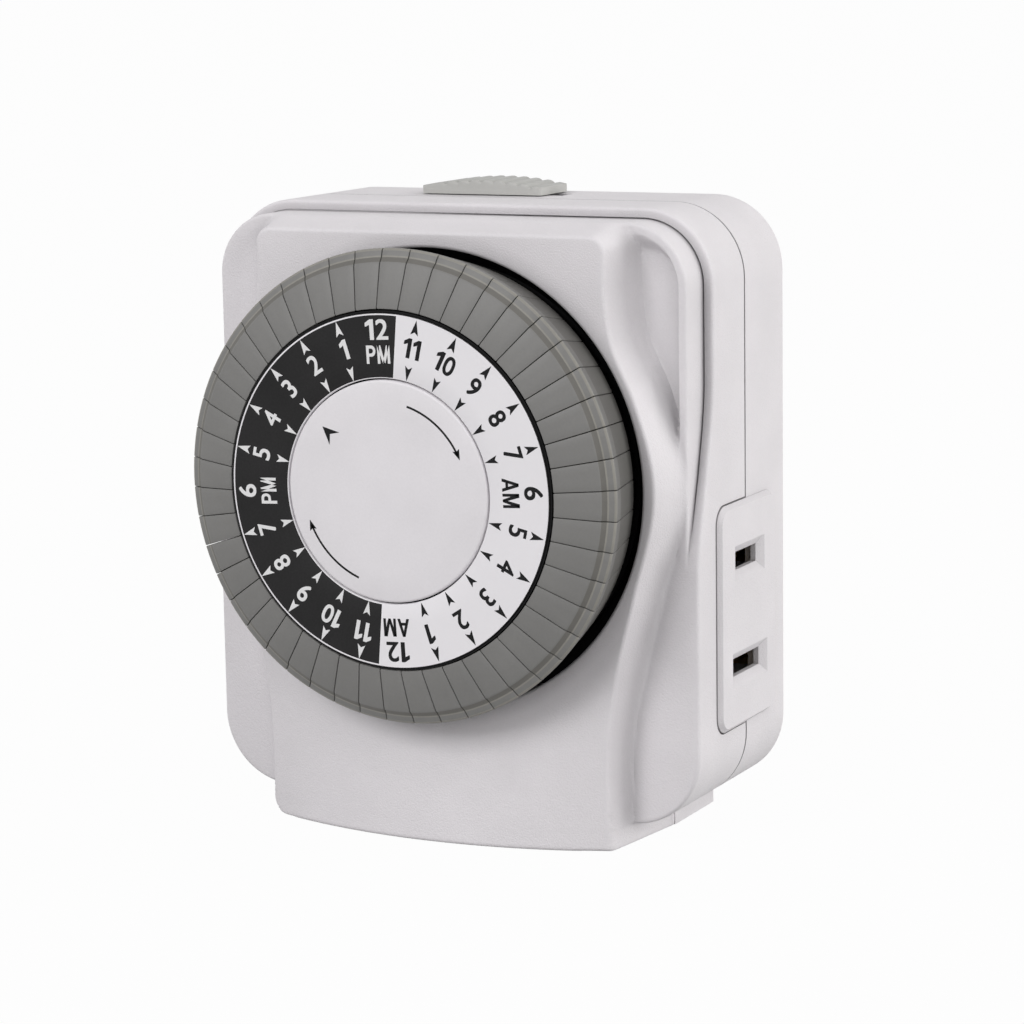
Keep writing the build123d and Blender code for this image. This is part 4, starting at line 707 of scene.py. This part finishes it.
for hour in range(24):
    points, faces, tones = [], [], []
    for half_hour in range(2):
        start = noon_deg + hour_deg * hour + hour_deg / 2 * half_hour
        tappet_wedge(points, faces, tones, start, start + hour_deg / 2)
        tappet_tail(points, faces, tones, start + hour_deg / 4)
    pair = place_mesh(f"tappet_pair_{hour + 1:02d}", tidy_mesh("tappet_pair", points, faces, tones), 28)
    for finish in tappet_finishes:
        pair.data.materials.append(finish)
    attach(pair, f"tappets_{hour + 1:02d}")
    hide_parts(f"tappets_{hour + 1:02d}")

# ------------------------------------------------------------------ number plate
# A printed plate on the drum: the hours from noon to midnight are white on black, the rest black
# on white. The ground is printed first, then the figures and arrowheads.
plate_inner, plate_outer, plate_front, plate_back = 13.05, 20.5, 41.2, 40.44
white_rim_inner, white_rim_outer = 20.25, 20.42
ink_rise, ink_layer, mark_rise = 0.01, 0.001, 0.012
# height, width as a share of it, and radius: a lone hour, the hours six and twelve, and AM or PM
lone_hour, quarter_hour, half_day = (2.3, 0.95, 16.9), (2.35, 1.05, 18.6), (2.1, 0.85, 15.75)
half_day_stroke = 0.025
# an arrowhead's tip radius, length and half width
outer_arrow, inner_arrow = (20.24, 1.75, 0.5), (13.15, 1.7, 0.46)


def around(radius, clockwise_deg, depth, right=0.0):
    """A point on the dial, its angle clockwise from the top as seen from the front, moved to its right."""
    a = radians(clockwise_deg)
    x, z = radius * sin(a) + right * cos(a), radius * cos(a) - right * sin(a)
    return Vector((x, -depth, dial_z + z)) * MM


def build_plate():
    """The plate as rings; the afternoon's half and the outer line take the black ground."""
    steps, white, black, by_half_day = 240, 0, 1, 2
    section = [(plate_inner, plate_back, white), (plate_inner, plate_front - 0.12, white),
               (plate_inner + 0.04, plate_front - 0.035, white),
               (plate_inner + 0.12, plate_front, by_half_day),
               (15.5, plate_front, by_half_day), (18.0, plate_front, by_half_day),
               (white_rim_inner, plate_front, white), (white_rim_outer, plate_front, black),
               (plate_outer - 0.05, plate_front, black), (plate_outer - 0.015, plate_front - 0.015, black),
               (plate_outer, plate_front - 0.06, black), (plate_outer, plate_back, white)]
    turn = 90.0 - noon_deg + hour_deg / 2
    points = [around(r, turn + 360 * i / steps, d) for i in range(steps) for r, d, ground in section]
    tones = [(black if i >= steps // 2 else white) if ground == by_half_day else ground
             for i in range(steps) for r, d, ground in section]
    return tidy_mesh("number_plate", points, band_faces(steps, len(section), True), tones)


drawn_letters = {}


def letter(character):
    """A character's outline as points and faces, one unit high from its foot, starting at zero."""
    if character == "1":
        return ([(0.235, 0), (0.42, 0), (0.42, 1), (0.27, 1), (0.0, 0.82), (0.0, 0.67), (0.235, 0.79)],
                [(0, 1, 2, 6), (2, 3, 6), (3, 4, 5, 6)])
    if character == "M":
        return ([(0, 0), (0.16, 0), (0.16, 1), (0, 1), (0.74, 0), (0.9, 0), (0.9, 1), (0.74, 1), (0.22, 1),
                 (0.52, 0), (0.38, 0), (0.68, 1)],
                [(0, 1, 2, 3), (4, 5, 6, 7), (3, 8, 9, 10), (6, 11, 10, 9)])
    if character == "A":
        return ([(0, 0), (0.17, 0), (0.5, 1), (0.33, 1), (0.66, 0), (0.83, 0), (0.2, 0.22), (0.63, 0.22),
                 (0.6, 0.36), (0.23, 0.36)], [(0, 1, 2, 3), (4, 5, 2, 3), (6, 7, 8, 9)])
    if character == "P":
        points = [(0, 0), (0.17, 0), (0.17, 1), (0, 1), (0.17, 0.85), (0.17, 0.55), (0.17, 0.4)]
        for step in range(13):
            a = pi / 2 - pi * step / 12
            points += [(0.36 + r * cos(a), 0.7 + r * sin(a)) for r in (0.15, 0.3)]
        bowl = [(7 + 2 * k, 8 + 2 * k, 10 + 2 * k, 9 + 2 * k) for k in range(12)]
        return points, [(0, 1, 2, 3), (4, 2, 8, 7), (6, 5, 31, 32)] + bowl
    if character not in drawn_letters:
        curve = bpy.data.curves.new("letter", "FONT")
        curve.body, curve.resolution_u = character, 6
        text = bpy.data.objects.new("letter", curve)
        bpy.context.scene.collection.objects.link(text)
        bpy.context.view_layer.update()
        filled = text.evaluated_get(bpy.context.evaluated_depsgraph_get())
        mesh = bpy.data.meshes.new_from_object(filled)
        bpy.data.objects.remove(text)
        spots = np.array([v.co for v in mesh.vertices])[:, :2]
        spots = (spots - spots.min(0)) / (spots[:, 1].max() - spots[:, 1].min())
        drawn_letters[character] = [tuple(p) for p in spots], [tuple(p.vertices) for p in mesh.polygons]
        bpy.data.meshes.remove(mesh)
    return drawn_letters[character]


def figure(letters, size, clockwise_deg, stroke=0.048, space=0.16):
    """Printed characters, their tops outwards, each laid down five times, a little apart, to thicken it."""
    full_height, squeeze, radius = size
    height = full_height - 2 * stroke
    drawn = [letter(c) for c in letters]
    widths = [max(p[0] for p in points) for points, faces in drawn]
    start = -(sum(widths) + space * (len(letters) - 1)) / 2
    shifts = ((0, 0), (-stroke, -stroke), (stroke, -stroke), (stroke, stroke), (-stroke, stroke))
    made, faces = [], []
    for (points, shapes), width in zip(drawn, widths):
        for layer, (right, up) in enumerate(shifts):
            base, depth = len(made), plate_front + ink_rise + ink_layer * layer
            for x, y in points:
                made.append(around((y - 0.5) * height + up + radius, clockwise_deg, depth,
                                   (start + x) * height * squeeze + right))
            faces += [tuple(base + i for i in shape) for shape in shapes]
        start += width + space
    return made, faces


def arrowhead(size, clockwise_deg, depth, outwards, notch=0.2):
    """A printed arrowhead with a notched tail."""
    tip_radius, length, half_width = size
    length = length if outwards else -length
    shape = [(0, tip_radius), (-half_width, tip_radius - length), (0, tip_radius - length * (1 - notch)),
             (half_width, tip_radius - length)]
    made = [around(radius, clockwise_deg, depth + mark_rise, right) for right, radius in shape]
    return made, [(0, 1, 2), (0, 2, 3)]


def printed(name, marks, ink, body):
    """Joins marks into one thin printed layer."""
    points, faces = [], []
    for made, made_faces in marks:
        base = len(points)
        points += made
        faces += [tuple(base + i for i in face) for face in made_faces]
    mesh = bpy.data.meshes.new(name)
    mesh.from_pydata(points, [], faces)
    work = bmesh.new()
    work.from_mesh(mesh)
    for face in work.faces:
        face.normal_update()
        if face.normal.y > 0:
            face.normal_flip()
    work.to_mesh(mesh)
    work.free()
    mesh.materials.append(ink)
    layer = bpy.data.objects.new(name, mesh)
    bpy.context.scene.collection.objects.link(layer)
    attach(layer, body)


plate_white = plastic("white_plate_ground", (0.86, 0.845, 0.865), 0.42, 0.25, 0.002, mottle=0.01)
plate_black = plastic("black_plate_ground", (0.015, 0.0145, 0.015), 0.55, 0.25, 0.006, mottle=0.3,
                      specular=0.2)
black_ink = plastic("black_ink", (0.012, 0.012, 0.013), 0.5, 0.2, 0.001, mottle=0.05, specular=0.12)
white_ink = plastic("white_ink", (0.8, 0.8, 0.8), 0.45, 0.2, 0.001, mottle=0.01)
number_plate = place_mesh("printed_number_plate", build_plate(), 35)
number_plate.data.materials.append(plate_white)
number_plate.data.materials.append(plate_black)
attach(number_plate, "dial")
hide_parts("number_plate")
for afternoon, name, ink in ((True, "afternoon_figures", white_ink),
                             (False, "morning_figures", black_ink)):
    marks = []
    for step in range(12):
        hour = step or 12
        turn = 90.0 - noon_deg - hour_deg * step + (0 if afternoon else 180.0)
        if hour in (6, 12):
            marks.append(figure(str(hour), quarter_hour, turn))
            marks.append(figure("PM" if afternoon else "AM", half_day, turn, half_day_stroke))
        else:
            marks.append(figure(str(hour), lone_hour, turn))
            marks.append(arrowhead(outer_arrow, turn, plate_front, True))
            marks.append(arrowhead(inner_arrow, turn, plate_front, False))
    printed(name, marks, ink, "dial")

# ------------------------------------------------------------------ centre cap
# A fixed white cap pressed into the post. Its pointer marks the current hour, and two printed
# arrows show which way the dial is turned.
cap_radius, cap_front, cap_back, cap_back_edge = 12.85, 41.35, 39.85, 0.1
# how far each ring of the rounded front edge lies inward from the rim and back from the front
cap_rounding = ((0.3, 0.0), (0.185, 0.023), (0.088, 0.088), (0.023, 0.185), (0.0, 0.3))
cap_stem_radius, cap_stem_back = 2.4, 26.4
pointer, pointer_deg, pointer_notch = (10.9, 2.05, 1.0), 311.0, 0.38
turn_line_width, turn_head_length, turn_head_notch, turn_head_half_width = 0.25, 1.25, 1.05, 0.46


def build_cap():
    """The cap's disc with a rounded front edge, turned as rings, and its stem."""
    section = [(0.0, cap_front), (4.0, cap_front), (9.0, cap_front)]
    section += [(cap_radius - inward, cap_front - back) for inward, back in cap_rounding]
    section += [(cap_radius, cap_back + cap_back_edge), (cap_radius - cap_back_edge, cap_back),
                (cap_stem_radius, cap_back), (cap_stem_radius, cap_stem_back), (0.0, cap_stem_back)]
    steps, count = 144, len(section)
    points = [around(r, 360 * i / steps, d) for i in range(steps) for r, d in section]
    faces = []
    for i in range(steps):
        here, there = i * count, (i + 1) % steps * count
        faces += [(here + k, here + k + 1, there + k + 1, there + k) for k in range(count - 1)]
    return tidy_mesh("centre_cap", points, faces)


def turning_arrow(radius, start_deg, end_deg, tip_deg):
    """A printed line along an arc, and the arrowhead at its end."""
    steps, depth = 28, cap_front + mark_rise
    angles = [start_deg + (end_deg - start_deg) * i / steps for i in range(steps + 1)]
    line = [around(radius + side * turn_line_width / 2, angle, depth) for angle in angles for side in (-1, 1)]
    strips = [(2 * i, 2 * i + 1, 2 * i + 3, 2 * i + 2) for i in range(steps)]
    head = [around(radius + out, tip_deg, depth, -back) for out, back in (
        (0, 0), (turn_head_half_width, turn_head_length), (0, turn_head_notch),
        (-turn_head_half_width, turn_head_length))]
    return (line, strips), (head, [(0, 1, 2), (0, 2, 3)])


cap_white = plastic("grained_white_cap", (0.82, 0.8, 0.82), 0.5, 0.3, 0.012, mottle=0.03)
centre_cap = place_mesh("moulded_centre_cap", build_cap(), 40)
centre_cap.data.materials.append(cap_white)
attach(centre_cap, "housing")
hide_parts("centre_cap")
turns = turning_arrow(10.35, 15.7, 63.0, 66.2), turning_arrow(10.92, 201.0, 246.0, 249.5)
cap_marks = [arrowhead(pointer, pointer_deg, cap_front, True, pointer_notch)]
cap_marks += [line for line, head in turns] + [head for line, head in turns]
printed("cap_marks", cap_marks, black_ink, "housing")

# ------------------------------------------------------------------ drum and mechanism plate
# The drum that carries the plate and tappets, and the plate at the bottom of its well, are
# black nylon, smooth and slightly shiny.
black_nylon = plastic("black_nylon", (0.008, 0.008, 0.0085), 0.5, 0.4, 0.003, mottle=0.1, specular=0.12)
dress("dial_drum", black_nylon)
dress("mechanism_plate", black_nylon)

# ------------------------------------------------------------------ metalwork
# Blades and bus bars are brass strip, screws, arbors and the motor's can are plated steel, and
# the contacts are silver rivets. All are stamped or turned, with fine scratches.


def metal(name, colour, roughness, scratch, brushed=(1, 1, 1)):
    """Rolled or turned metal: fine scratches drawn out along its working direction, and a faint tarnish."""
    made, tree, body, place = new_material(name)
    body.inputs["Metallic"].default_value = 1.0
    drawn = tree.nodes.new("ShaderNodeMapping")
    drawn.inputs["Scale"].default_value = brushed
    tree.links.new(place, drawn.inputs["Vector"])
    fine = noise(tree, drawn.outputs["Vector"], 2500.0, 4.0)
    cloud = noise(tree, place, 260.0, 2.0)
    tint = two_tones(tree, cloud, 0.35, 0.7, [c * 0.82 for c in colour], colour)
    tree.links.new(tint, body.inputs["Base Color"])
    uneven = spread(tree, fine, 0.0, 1.0, roughness - 0.08, roughness + 0.1)
    tree.links.new(uneven, body.inputs["Roughness"])
    embossed(tree, body, fine, scratch, 0.5)
    return made


brass = metal("rolled_brass", (0.78, 0.6, 0.3), 0.32, 0.002, (1, 0.12, 1))
steel = metal("plated_steel", (0.6, 0.6, 0.6), 0.36, 0.002, (1, 1, 0.3))
silver = metal("silver_contact", (0.88, 0.87, 0.84), 0.28, 0.001)
for node in ("line_blade", "neutral_blade", "line_bus", "neutral_bus", "switch_leaf"):
    dress(node, brass)
for node in ("housing_screws", "plate_screws", "gear_plate", "gear_pillars", "pillar_screws", "motor_cup",
             "motor_cover", "motor_screws", "motor_spacers", "follower_pin", "clutch_spring"):
    dress(node, steel)
for node in ("fixed_contact", "moving_contact"):
    dress(node, silver)

# ------------------------------------------------------------------ gears, lever, motor's inside
# The gears and the lever are natural acetal. The rotor is a ferrite magnet, the coil is taped,
# and its two leads have PVC insulation.
acetal = plastic("natural_acetal", (0.72, 0.7, 0.64), 0.38, 0.3, 0.003, mottle=0.03)
ferrite = plastic("ferrite_rotor", (0.05, 0.05, 0.055), 0.5, 0.4, 0.01, mottle=0.15)
coil_tape = plastic("coil_tape", (0.62, 0.5, 0.12), 0.55, 0.5, 0.01, mottle=0.06)
lead_skin = plastic("lead_insulation", (0.35, 0.02, 0.02), 0.4, 0.3, 0.003, mottle=0.05)
for node in ("gear_1", "gear_2", "gear_3", "gear_4", "clutch_gear", "dial_pinion", "follower_lever"):
    dress(node, acetal)
dress("motor_rotor", ferrite)
dress("motor_coil", coil_tape)
dress("motor_leads", lead_skin)
